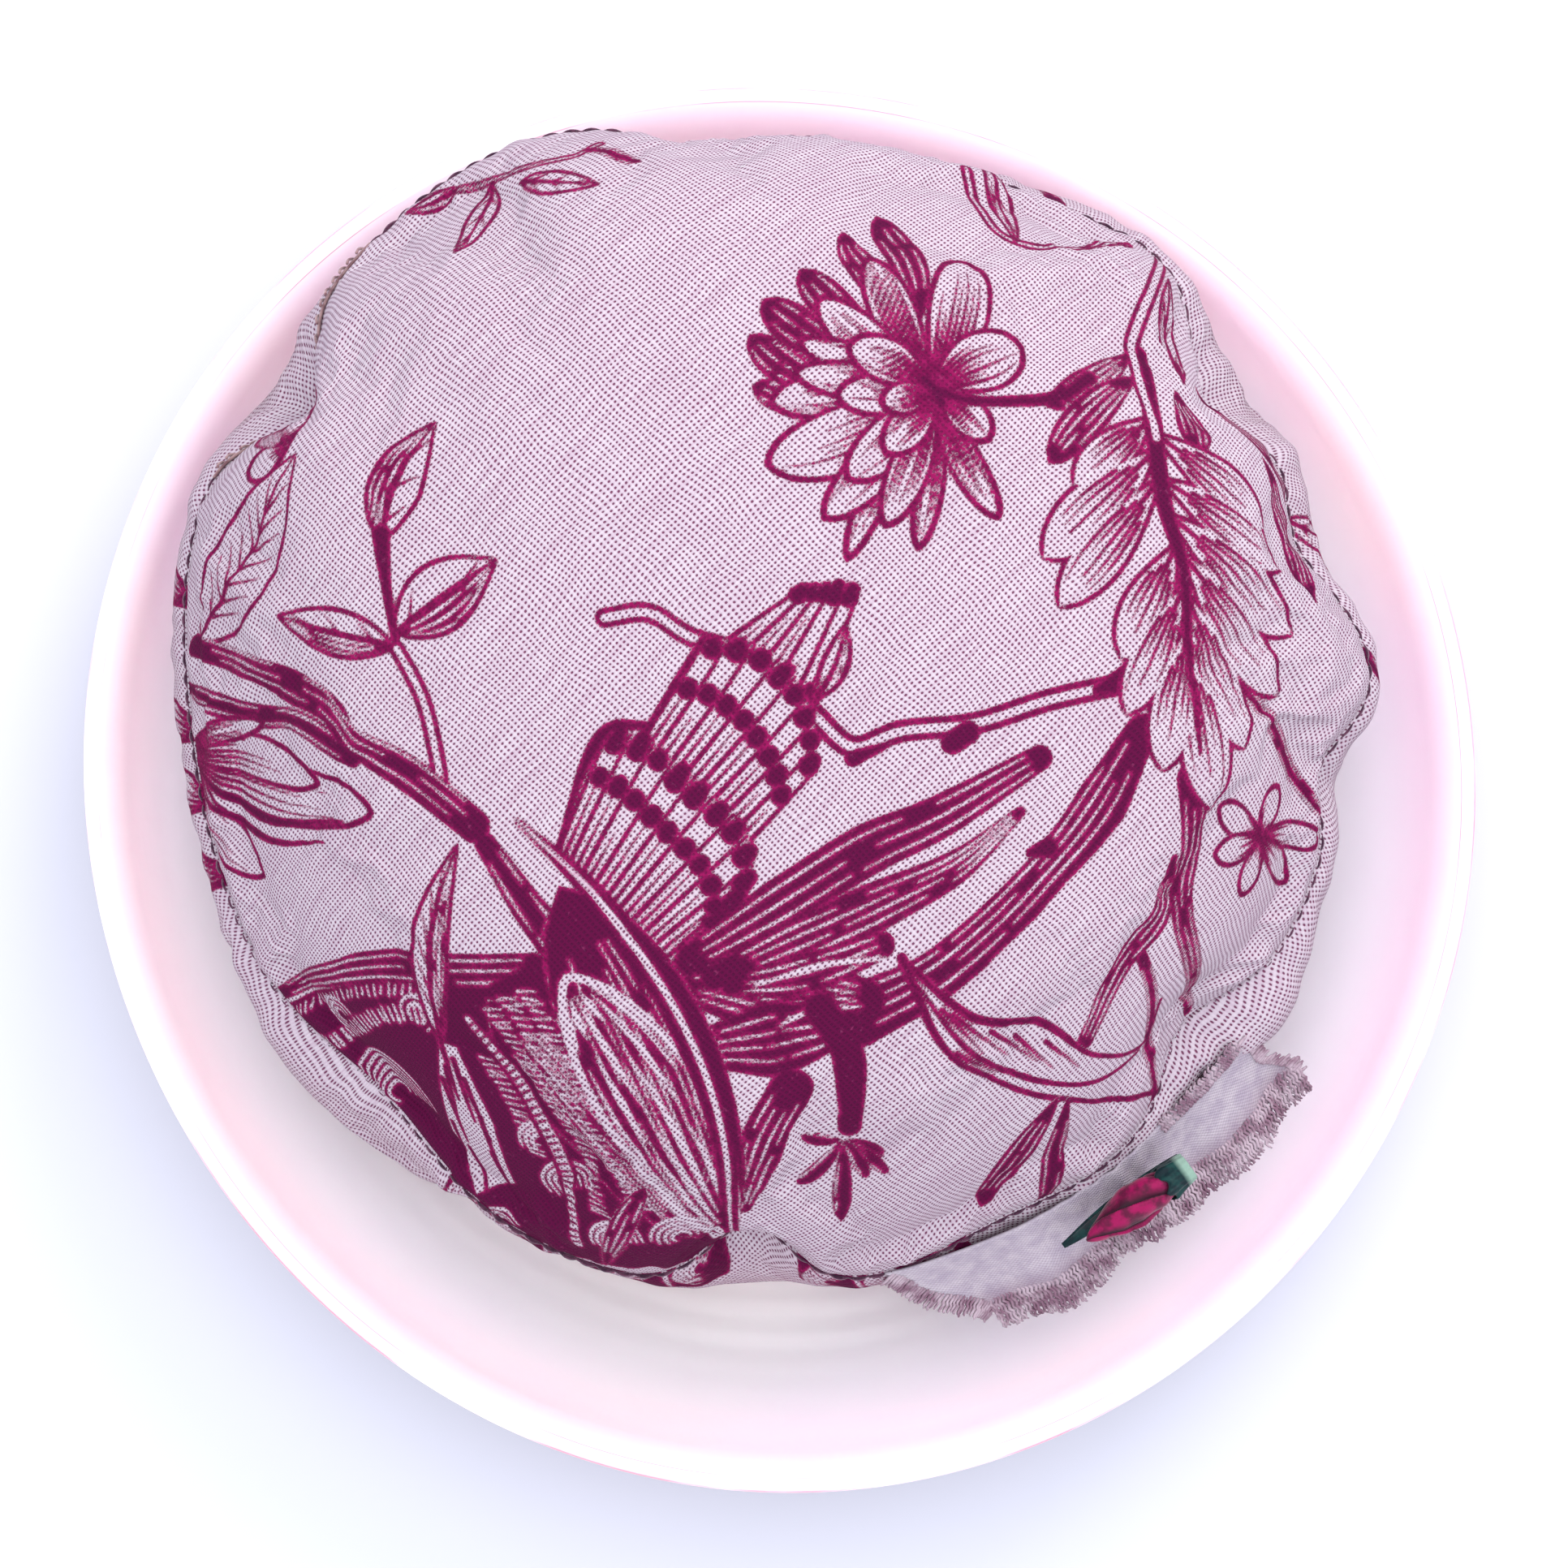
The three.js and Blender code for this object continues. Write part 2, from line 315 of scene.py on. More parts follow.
def area_light(name, place, size, power, colour, aim=(0.0, 0.0, 0.02)):
    data = bpy.data.lights.new(name, "AREA")
    data.shape = "DISK"
    data.size = size
    data.energy = power
    data.color = colour
    light = bpy.data.objects.new(name, data)
    bpy.context.scene.collection.objects.link(light)
    light.location = place
    light.rotation_mode = "QUATERNION"
    light.rotation_quaternion = (Vector(aim) - Vector(place)).to_track_quat("-Z", "Y")


def make_light():
    """A bright room: soft light from all round, a window behind and a lamp high above."""
    world = bpy.data.worlds.new("soft_room")
    bpy.context.scene.world = world
    world.use_nodes = True
    sky = world.node_tree.nodes["Background"]
    sky.inputs["Color"].default_value = (0.90, 0.93, 1.0, 1.0)
    sky.inputs["Strength"].default_value = 2.5
    area_light("window", (0.26, 0.46, 0.42), 0.42, 3.2, (1.0, 0.93, 0.90))
    area_light("ceiling", (0.05, 0.05, 0.9), 0.8, 3.0, (1.0, 0.96, 0.97))
    view = bpy.context.scene.view_settings
    view.view_transform = "Standard"


def make_floor():
    """The pale table that the dish stands on."""
    size = 2.0
    mesh = bpy.data.meshes.new("floor")
    corners = [(-size, -size, 0), (size, -size, 0), (size, size, 0), (-size, size, 0)]
    mesh.from_pydata(corners, [], [(0, 1, 2, 3)])
    floor = bpy.data.objects.new("floor", mesh)
    bpy.context.scene.collection.objects.link(floor)
    look = Shader("pale_table", roughness=0.7)
    look.surface.inputs["Base Color"].default_value = (0.40, 0.41, 0.46, 1.0)
    mesh.materials.append(look.material)


# ---- Dish ---------------------------------------------------------------------------------------

DISH_LOBES = ((1, 0.9, 58), (2, 1.0, -60), (3, 0.4, 26))
FOOT_RADIUS = 41.0
RIM_RADIUS = 75.8
WALL_RADIUS = 72.2
WALL_THICKNESS = 2.4
LIP_THICKNESS = 1.6
WALL_HEIGHT = 17.0
FLOOR_HEIGHT = CUSHION_LOW - 0.3
FLOOR_RADIUS = 54.0
FLOOR_SAG = 0.2  # how much lower the floor is in its middle
FOOT_HEIGHT = 2.3
THROWING_PITCH = 2 * math.pi / 1.9  # between the rings that the potter's fingers leave
THROWING_DEPTH = 0.05


def bezier(points, count):
    """Points along one cubic or quadratic curve, without the first."""
    share = np.linspace(0, 1, count + 1)[1:, None]
    points = [np.array(p, dtype=float) for p in points]
    while len(points) > 1:
        points = [a * (1 - share) + b * share for a, b in zip(points, points[1:])]
    return points[0]


def dish_profile():
    """Radius, height and how near the point is to an edge of the lip, from the foot to the floor."""
    wall, outer, top = WALL_RADIUS, WALL_RADIUS + WALL_THICKNESS, DISH_HEIGHT
    outside = np.vstack([
        [[0.0, 0.0]],
        [[r, 0.0] for r in np.linspace(8, FOOT_RADIUS - 0.9, 6)],
        bezier([(FOOT_RADIUS - 0.9, 0), (FOOT_RADIUS, 0), (FOOT_RADIUS, 0.9)], 5),
        bezier([(FOOT_RADIUS, 0.9), (FOOT_RADIUS, 2.1), (FOOT_RADIUS + 1.6, FOOT_HEIGHT)], 5),
        bezier([(FOOT_RADIUS + 1.6, FOOT_HEIGHT), (wall - 8, 2.6),
                (outer - 0.8, 7), (outer, WALL_HEIGHT)], 28),
        bezier([(outer, WALL_HEIGHT), (outer + 0.3, top - 4), (RIM_RADIUS, top - 0.6)], 12),
    ])
    lip = np.vstack([
        bezier([(RIM_RADIUS, top - 0.6), (RIM_RADIUS + 0.02, top - 0.1), (RIM_RADIUS - 0.5, top)], 5),
        bezier([(RIM_RADIUS - 0.5, top), (RIM_RADIUS - LIP_THICKNESS + 0.4, top + 0.02)], 3),
        bezier([(RIM_RADIUS - LIP_THICKNESS + 0.4, top + 0.02),
                (RIM_RADIUS - LIP_THICKNESS, top - 0.1), (RIM_RADIUS - LIP_THICKNESS, top - 0.8)], 5),
    ])
    floor_radii = np.linspace(FLOOR_RADIUS - 3, 6, 10)
    inside = np.vstack([
        bezier([lip[-1], (wall + 0.3, top - 5), (wall, WALL_HEIGHT)], 12),
        bezier([(wall, WALL_HEIGHT), (wall - 0.7, 9), (wall - 6, FLOOR_HEIGHT + 0.3),
                (FLOOR_RADIUS, FLOOR_HEIGHT)], 34),
        [[r, FLOOR_HEIGHT - FLOOR_SAG * (1 - r / FLOOR_RADIUS)] for r in floor_radii],
        [[0.0, FLOOR_HEIGHT - FLOOR_SAG]],
    ])
    profile = np.vstack([outside, lip, inside])
    edge = np.zeros(len(profile))
    first = len(outside)
    edge[[first, first + 1, first + 2, first + 3]] = (0.8, 1.0, 1.0, 0.6)
    edge[first + len(lip) - 3] = 1.0
    return profile, edge


def make_dish():
    """The dish: its profile turned round, a little out of round, with a wavy rim."""
    profile, edge = dish_profile()
    steps = 288
    angle = np.linspace(0, 2 * math.pi, steps, endpoint=False)
    rings = profile[1:-1]
    share = np.clip((rings[:, 0] - FOOT_RADIUS) / (RIM_RADIUS - FOOT_RADIUS), 0, 1)[:, None]
    radius = rings[:, :1] + share * waves(np.degrees(angle), DISH_LOBES)
    height = np.repeat(rings[:, 1:], steps, axis=1)
    tilt = 0.35 * np.cos(3 * angle + 0.7) + 0.25 * np.cos(5 * angle + 2.0)
    height = height + tilt * share * smooth_step(8, DISH_HEIGHT, height)
    throwing = np.sin(rings[:, :1] * 2 * math.pi / THROWING_PITCH) * smooth_step(20, 50, radius)
    throwing = THROWING_DEPTH * throwing * (1 - share * 0.5)
    height = height + np.where(rings[:, 1:] > FLOOR_HEIGHT - 0.3, throwing, 0)
    ring_points = np.stack([radius * np.cos(angle), radius * np.sin(angle), height], axis=-1)
    points = np.vstack([[[0, 0, profile[0, 1]]], ring_points.reshape(-1, 3), [[0, 0, profile[-1, 1]]]])
    faces = grid_faces(len(rings), steps, start=1, wrap=True)
    for middle, ring in ((0, 1), (len(points) - 1, len(points) - 1 - steps)):
        faces += [(middle, ring + j, ring + (j + 1) % steps) for j in range(steps)]
    dish = piece_from("thrown_dish", points, faces)
    outer = (rings[:, 1] < DISH_HEIGHT - 1.5) & (np.arange(len(rings)) < np.argmax(rings[:, 1]))
    mark(dish, "edge", np.concatenate([[0], np.repeat(edge[1:-1], steps), [0]]))
    mark(dish, "outer", np.concatenate([[1], np.repeat(outer.astype(float), steps), [0]]))
    dish.data.materials.append(glaze())
    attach(dish, "dish")
    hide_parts("dish")


def iron_specks(look, place):
    """1 inside small specks scattered over the glaze, and 0 between them."""
    cells = look.node("ShaderNodeTexVoronoi", feature="F1")
    look.plug(cells.inputs["Vector"], place)
    cells.inputs["Scale"].default_value = 85.0
    chance = look.node("ShaderNodeSeparateColor")
    look.plug(chance.inputs[0], cells.outputs["Color"])
    chosen = look.math("GREATER_THAN", chance.outputs[0], 0.90)
    size = look.math("MULTIPLY_ADD", chance.outputs[1], 0.030, 0.012)
    return look.times(chosen, look.math("LESS_THAN", cells.outputs["Distance"], size))


def glaze():
    """Pale translucent glaze: mottled, with iron specks, worn at the lip, and coloured darker outside as
    painted shade.
    """
    look = Shader("speckled_glaze", roughness=0.32)
    place = look.place()
    mottle = look.step(look.noise(place, 22.0, 3.0), 0.35, 0.7)
    base = look.mix(mottle, srgb(240, 203, 203), srgb(224, 197, 207))
    # Painted shade: the outside is coloured darker than the glaze inside, so that the bright room doesn't
    # wash it out.
    runs = look.step(look.noise(look.scaled(place, (1.0, 1.0, 0.25)), 34.0, 3.0), 0.35, 0.7)
    shaded_outside = look.mix(runs, srgb(204, 168, 172), srgb(186, 156, 168))
    base = look.mix(look.times(look.mark("outer"), 0.9), base, shaded_outside)
    colour = look.mix(look.times(iron_specks(look, place), 0.75), base, srgb(128, 52, 62))
    worn = look.times(look.mark("edge"), look.step(look.noise(place, 60.0, 2.0), 0.25, 0.6))
    look.colour(look.mix(look.times(worn, 0.9), colour, srgb(150, 84, 100)))
    look.surface.inputs["Coat Weight"].default_value = 0.25
    look.surface.inputs["Coat Roughness"].default_value = 0.2
    look.surface.inputs["Subsurface Weight"].default_value = 1.0
    look.surface.inputs["Subsurface Radius"].default_value = (1.0, 0.8, 0.88)
    look.surface.inputs["Subsurface Scale"].default_value = 0.012
    look.relief(look.noise(look.scaled(place, (1.0, 1.0, 3.0)), 90.0, 3.0), 0.25, 0.35)
    return look.material


# ---- The cushion's shape ------------------------------------------------------------------------
# Both panels are drawn on a disc of radius 1. A point of the disc is a place on the flat cloth.

def plain_radius(angle):
    """The seam's distance from the centre without its gathers; angle in degrees."""
    return SEAM_RADIUS + waves(angle, SEAM_LOBES)


def seam_radius(angle):
    """The seam's distance from the centre; angle in degrees."""
    return plain_radius(angle) - bells(angle, GATHERS)


def seam_wave(angle):
    """The seam's own rise and fall: it lifts where it is drawn in."""
    return waves(angle, SEAM_WAVES) + LIFT_AT_GATHER * bells(angle, GATHERS)


def half_section(rise, fullness):
    """Length along the cloth, share of the seam's radius, and height, from a panel's middle out."""
    turn = np.linspace(0, math.pi / 2, 400)
    radius = np.sin(turn) ** (2 / fullness)
    height = rise * np.cos(turn) ** (2 / fullness)
    steps = np.hypot(np.diff(radius * SEAM_RADIUS), np.diff(height))
    along = np.concatenate([[0], np.cumsum(steps)])
    return along, radius, height


TOP_SECTION = half_section(CUSHION_HIGH - SEAM_HEIGHT, TOP_FULLNESS)
BASE_SECTION = half_section(SEAM_HEIGHT - CUSHION_LOW + 1.2, BASE_FULLNESS)
CLOTH_RADIUS = TOP_SECTION[0][-1]


def panel_points(disc, lower):
    """Where points of the unit disc lie on the stuffed cushion, in millimetres."""
    along, radius_share, heights = BASE_SECTION if lower else TOP_SECTION
    out = np.clip(np.hypot(disc[..., 0], disc[..., 1]), 0, 1)
    angle = np.degrees(np.arctan2(disc[..., 1], disc[..., 0]))
    share = np.interp(out * along[-1], along, radius_share)
    height = np.interp(out * along[-1], along, heights)
    near = np.exp(-((height / (9.0 if lower else 12.0)) ** 2))
    plain = plain_radius(angle)
    radius = share * (plain - near * share ** 2 * (plain - seam_radius(angle)))
    level = height / heights[0] / FULLEST_LEVEL
    swell = LOWER_SWELL + bells(angle, LOWER_SWELLS) if lower else UPPER_SWELL
    radius = radius + share ** 2 * level * np.exp(1 - level) * swell
    wave = seam_wave(angle) * share ** 6
    if lower:
        height = np.minimum(height, SEAM_HEIGHT - CUSHION_LOW)
    sign = -1 if lower else 1
    x = CENTRE[0] + radius * np.cos(np.radians(angle))
    y = CENTRE[1] + radius * np.sin(np.radians(angle))
    return np.stack([x, y, SEAM_HEIGHT + sign * height + wave], axis=-1)


def disc_grid(count):
    """A square grid of points laid over the unit disc."""
    line = np.linspace(-1, 1, count + 1)
    u, v = np.meshgrid(line, line, indexing="ij")
    return np.stack([u * np.sqrt(1 - v * v / 2), v * np.sqrt(1 - u * u / 2)], axis=-1)


# ---- The printed design -------------------------------------------------------------------------
# A one-colour floral with a bird, drawn on the flat cloth in millimetres from the panel's centre.

UNPRINTED = -4.0  # stands for a place far outside the ink


def curve(points, step=0.8):
    """A smooth line through the points, as points about one step apart."""
    points = np.array(points, dtype=float)
    if len(points) == 2:
        count = max(2, int(np.hypot(*(points[1] - points[0])) / step))
        return points[0] + (points[1] - points[0]) * np.linspace(0, 1, count + 1)[:, None]
    first = 2 * points[0] - points[1]
    last = 2 * points[-1] - points[-2]
    padded = np.vstack([first, points, last])
    line = [points[:1]]
    for before, start, end, after in zip(padded, padded[1:], padded[2:], padded[3:]):
        count = max(2, int(np.hypot(*(end - start)) / step))
        t = np.linspace(0, 1, count + 1)[1:, None]
        line.append(0.5 * (
            2 * start + (end - before) * t
            + (2 * before - 5 * start + 4 * end - after) * t ** 2
            + (3 * start - before - 3 * end + after) * t ** 3
        ))
    return np.vstack(line)


def side_of(line):
    """Unit normals to the left of a line."""
    along = unit(np.gradient(line, axis=0))
    return np.stack([-along[:, 1], along[:, 0]], axis=1)


def blade(base, tip, width, bend, fullest=0.55, round_end=0.6):
    """A petal or leaf: its middle line, and its half-width along that line.

    fullest is where it is widest, as a share of its length; a small round_end makes blunt ends.
    """
    base, tip = np.array(base, dtype=float), np.array(tip, dtype=float)
    span = tip - base
    share = np.linspace(0, 1, 15)
    lean = np.array([-span[1], span[0]]) / np.hypot(*span)
    middle = base + share[:, None] * span + (bend * np.sin(math.pi * share))[:, None] * lean
    power = math.log(0.5) / math.log(fullest)
    half = width / 2 * np.abs(np.sin(math.pi * share ** power)) ** round_end
    return middle, half


class Print:
    """Ink on cloth: for each point of the cloth, how far it is inside the ink, and a paler tint."""

    LINE = 0.52

    def __init__(self, places):
        self.places = places
        self.ink = np.full(len(places), UNPRINTED)
        self.tint = np.zeros(len(places))
        self.rng = np.random.default_rng(31)

    def near(self, line, margin):
        """Which places lie in the box round a line, so that only they are measured."""
        low = line.min(axis=0) - margin
        high = line.max(axis=0) + margin
        x, y = self.places[:, 0], self.places[:, 1]
        return np.nonzero((x > low[0]) & (x < high[0]) & (y > low[1]) & (y < high[1]))[0]

    def depth_in_line(self, line, widths):
        """How far points lie inside a line whose width runs evenly through the widths."""
        place = np.linspace(0, 1, len(line))
        width = np.interp(place, np.linspace(0, 1, len(widths)), widths)
        chosen = self.near(line, width.max() / 2 + 0.8)
        points = self.places[chosen]
        depth = np.full(len(chosen), UNPRINTED)
        for a, b, width_a, width_b in zip(line, line[1:], width, width[1:]):
            span = b - a
            t = np.clip(((points - a) @ span) / max(span @ span, 1e-9), 0, 1)
            away = np.hypot(*(points - a - t[:, None] * span).T)
            depth = np.maximum(depth, (width_a + t * (width_b - width_a)) / 2 - away)
        return chosen, depth

    def depth_in_shape(self, outline):
        """How far points lie inside a closed outline."""
        chosen = self.near(outline, 0.8)
        points = self.places[chosen]
        away = np.full(len(chosen), 9.0)
        inside = np.zeros(len(chosen), dtype=bool)
        for a, b in zip(outline, np.roll(outline, -1, axis=0)):
            span = b - a
            t = np.clip(((points - a) @ span) / max(span @ span, 1e-9), 0, 1)
            away = np.minimum(away, np.hypot(*(points - a - t[:, None] * span).T))
            crosses = (a[1] > points[:, 1]) != (b[1] > points[:, 1])
            rise = b[1] - a[1] if b[1] != a[1] else 1e-9
            inside ^= crosses & (points[:, 0] < a[0] + (points[:, 1] - a[1]) / rise * span[0])
        return chosen, np.where(inside, away, -away)

    def stroke(self, points, *widths):
        """An inked line; its width runs evenly through the widths."""
        chosen, depth = self.depth_in_line(curve(points), widths or (self.LINE,))
        self.ink[chosen] = np.maximum(self.ink[chosen], depth)

    def bare_stroke(self, points, *widths):
        """A line that takes the ink away."""
        chosen, depth = self.depth_in_line(curve(points), widths or (self.LINE,))
        self.ink[chosen] = np.minimum(self.ink[chosen], -depth)

    def wash(self, points, *widths):
        """A pale tint along a line."""
        chosen, depth = self.depth_in_line(curve(points), widths)
        self.tint[chosen] = np.maximum(self.tint[chosen], smooth_step(-0.3, 0.9, depth))

    def fill(self, outline):
        """Ink inside an outline."""
        chosen, depth = self.depth_in_shape(np.array(outline, dtype=float))
        self.ink[chosen] = np.maximum(self.ink[chosen], depth)

    def bare(self, outline):
        """Clean cloth inside an outline."""
        chosen, depth = self.depth_in_shape(np.array(outline, dtype=float))
        self.ink[chosen] = np.minimum(self.ink[chosen], -depth)
        self.tint[chosen] = np.where(depth > 0, 0, self.tint[chosen])

    def within(self, middle, half, across, start, end):
        """A line inside a blade: at a share of its half-width, from one share of its length on."""
        share = np.linspace(0, 1, len(middle))
        place = np.linspace(start, end, 7)
        line = middle + across * half[:, None] * side_of(middle)
        return np.stack([np.interp(place, share, line[:, k]) for k in (0, 1)], axis=1)

    def streaks(self, middle, half, count, bare, low=-0.75, high=0.75, start=0.08, end=0.92, width=0.42):
        """Broken lines that run along a blade or a branch, as engraving has."""
        draw = self.bare_stroke if bare else self.stroke
        for across in np.linspace(low, high, count):
            begin = start + 0.12 * self.rng.random()
            while begin < end - 0.08:
                finish = min(end, begin + 0.22 + 0.4 * self.rng.random())
                wander = across + 0.06 * (self.rng.random() - 0.5)
                draw(self.within(middle, half, wander, begin, finish), 0.2, width, 0.2)
                begin = finish + 0.03 + 0.08 * self.rng.random()

    def outline_of(self, middle, half):
        """A blade's closed outline."""
        side = side_of(middle) * half[:, None]
        return np.vstack([middle + side, (middle - side)[-2:0:-1]])

    def closed_stroke(self, outline, *widths):
        self.stroke(np.vstack([outline, outline[:1]]), *widths)

    def petal(self, base, tip, width, bend=0.0, hatch=0.5, lines=4, dark=False):
        """A rounded petal, bare with hatching from its base, or dark with bare streaks."""
        middle, half = blade(base, tip, width, bend, 0.6, 0.55)
        outline = self.outline_of(middle, half)
        self.bare(outline)
        if dark:
            self.fill(outline)
            self.streaks(middle, half, lines, True, -0.6, 0.6, 0.15, 0.85, 0.34)
            return
        self.wash(middle[:8], width * 0.2, width * 0.5, 0.1)
        for across in np.linspace(-0.62, 0.62, lines):
            reach = hatch * (0.6 + 0.6 * self.rng.random())
            self.stroke(self.within(middle, half, across, 0.03, reach), 0.75, 0.45, 0.12)
        self.closed_stroke(outline, 0.9, 0.55, 0.75, 0.5, 0.9)

    def leaf(self, base, tip, width, bend=0.0, veins=5, shaded=0):
        """A pointed leaf with a midrib and veins; the shaded side (1 or -1) is hatched dark."""
        middle, half = blade(base, tip, width, bend, 0.45, 0.9)
        outline = self.outline_of(middle, half)
        self.bare(outline)
        if shaded:
            side = side_of(middle) * half[:, None] * shaded
            self.fill(np.vstack([middle + side, middle[-2:0:-1]]))
            self.streaks(middle, half, 3, True, *sorted((0.3 * shaded, 0.85 * shaded)))
        for place in np.linspace(0.15, 0.72, veins):
            for across in (-1, 1):
                if across == shaded:
                    continue
                root = self.within(middle, half, 0, place, place + 0.01)[0]
                end = self.within(middle, half, 0.72 * across, place + 0.16, place + 0.17)[0]
                self.stroke([root, end], 0.5, 0.16)
        self.stroke(middle, 0.8, 0.3)
        self.closed_stroke(outline, 0.5, 0.62, 0.42, 0.62, 0.5)

    def lobed_leaf(self, rib, lobes, width):
        """A leaf of rounded lobes; each lobe is (share along the rib, tip, width)."""
        spine = curve(rib)
        share = np.linspace(0, 1, len(spine))
        drawn = []
        for place, tip, lobe_width in lobes:
            base = [np.interp(place, share, spine[:, k]) for k in (0, 1)]
            drawn.append(blade(base, tip, lobe_width, 0.0, 0.62, 0.6))
        for middle, half in drawn:
            outline = self.outline_of(middle, half)
            self.bare(outline)
            self.closed_stroke(outline, 0.56)
        for middle, half in drawn:
            self.bare(self.outline_of(middle, np.maximum(half - 0.35, 0.05)))
            self.stroke(middle[:12], 0.7, 0.25)
            self.wash(middle[:9], 0.6, 1.8, 0.2)
            for across in (-0.62, -0.34, 0.34, 0.62):
                begin = 0.12 + 0.3 * abs(across)
                finish = begin + 0.35 + 0.25 * self.rng.random()
                self.stroke(self.within(middle, half, across, begin, finish), 0.55, 0.4, 0.14)
        self.stroke(rib, *width)

    def branch(self, points, *widths, streaks=3, light=0.0):
        """A dark branch with bare streaks along it; light shifts them to one side."""
        middle = curve(points)
        half = np.interp(
            np.linspace(0, 1, len(middle)), np.linspace(0, 1, len(widths)), np.array(widths) / 2
        )
        self.stroke(points, *widths)
        self.streaks(middle, half, streaks, True, -0.6 + light, 0.6 + light, 0.03, 0.97, 0.36)

    def twin_line(self, points, width, line=0.6):
        """Two lines side by side, as a thin stem is drawn."""
        self.stroke(points, width)
        self.bare_stroke(points, max(0.3, width - 2 * line))

    def scroll(self, centre, radius, rings, start, end):
        """Bare arcs one inside another, from one angle to another in degrees."""
        for ring in range(rings):
            size = radius * (1 - ring / (rings + 0.3))
            turn = np.radians(np.linspace(start, end + 16 * ring, 11))
            arc = np.array(centre) + size * np.stack([np.cos(turn), np.sin(turn)], axis=1)
            self.bare_stroke(arc, 0.3, 0.62, 0.35)

    def ladder(self, points, length, pitch, slant=0.0, bare=True, width=0.4):
        """Short strokes side by side across a line."""
        draw = self.bare_stroke if bare else self.stroke
        line = curve(points, 0.3)
        travel = np.concatenate([[0], np.cumsum(np.hypot(*np.diff(line, axis=0).T))])
        along, side = unit(np.gradient(line, axis=0)), side_of(line)
        for place in np.arange(pitch / 2, travel[-1], pitch):
            k = int(np.searchsorted(travel, place))
            reach = side[k] * length / 2 * (0.7 + 0.5 * self.rng.random()) + along[k] * slant / 2
            draw([line[k] - reach, line[k] + reach], width, width * 0.7)

    def barred_wing(self, roots, tips, rays, bars):
        """Feathers side by side from a line of roots to a line of tips, with dark bars across.

        bars gives each bar's place, as a share of the feathers' length, and its width.
        """
        roots, tips = curve(roots), curve(tips)
        self.bare(np.vstack([roots, tips[::-1]]))

        def at(line, share):
            place = share * (len(line) - 1)
            return np.array([np.interp(place, np.arange(len(line)), line[:, k]) for k in (0, 1)])

        self.wash(roots, 2.4)
        for i in range(rays + 1):
            share = i / rays
            root, tip = at(roots, share), at(tips, share)
            self.stroke([root, tip], 0.62, 0.42)
            if i == rays:
                break
            middle = (i + 0.5) / rays
            inner_root, inner_tip = at(roots, middle), at(tips, middle)
            length = 0.35 + 0.4 * self.rng.random()
            self.stroke([inner_root, inner_root + (inner_tip - inner_root) * length], 0.55, 0.12)
            for place, depth in bars:
                spot = inner_root + (inner_tip - inner_root) * place
                at_tips = np.hypot(*(at(tips, (i + 1) / rays) - tip))
                at_roots = np.hypot(*(at(roots, (i + 1) / rays) - root))
                gap = (at_tips + at_roots) / 2
                along = unit(inner_tip - inner_root)
                reach = along * max(0.15, (depth * (0.8 + 0.4 * self.rng.random()) - gap) / 2)
                self.stroke([spot - reach, spot + reach], gap * 1.12, gap * 0.85)


def draw_blossom(cloth):
    heart = (16.8, 29.7)
    for base, tip, width, bend in (
        ((6.8, 27.6), (-1.6, 29.1), 3.6, 0.6),
        ((6.9, 29.2), (-1.9, 34.5), 4.2, 0.9),
        ((9.3, 32.8), (-0.6, 38.5), 4.8, 0.9),
        ((11.8, 34.7), (3.2, 42.1), 4.4, 0.8),
        ((13.6, 36.8), (7.9, 48.0), 3.8, 0.6),
        ((15.6, 36.8), (12.0, 52.3), 4.6, -0.8),
    ):
        cloth.petal(base, tip, width, bend, lines=3, dark=True)
    for tip, width, bend in (
        ((0.3, 27.3), 5.0, -0.4), ((10.6, 44.4), 4.8, 0.5), ((20.8, 46.3), 6.4, -0.8),
        ((5.1, 38.8), 4.8, 0.6), ((26.4, 35.0), 6.6, 0.4), ((3.2, 34.0), 3.6, 0.3),
        ((0.0, 21.0), 6.6, 1.0), ((7.9, 11.8), 2.8, -0.5), ((15.0, 13.0), 2.8, 0.5),
        ((23.2, 16.4), 3.4, -0.6), ((22.3, 24.4), 4.0, 0.3), ((2.7, 30.6), 3.8, 0.3),
        ((5.6, 15.8), 4.6, 0.6), ((6.9, 28.4), 4.2, 0.3), ((7.9, 19.9), 4.8, 0.5),
        ((11.7, 15.2), 4.0, 0.4), ((8.1, 33.7), 4.8, -0.5), ((11.7, 22.7), 4.0, 0.4),
        ((11.4, 27.8), 3.4, 0.2),
    ):
        cloth.petal(heart, tip, width, bend, hatch=0.8, lines=7)
    cloth.stroke([heart, (21.0, 28.5), (29.6, 29.5), (33.7, 32.3)], 1.5, 1.2, 1.5, 1.9)
    cloth.stroke([(15.9, 30.6), heart, (17.6, 28.1)], 1.6)


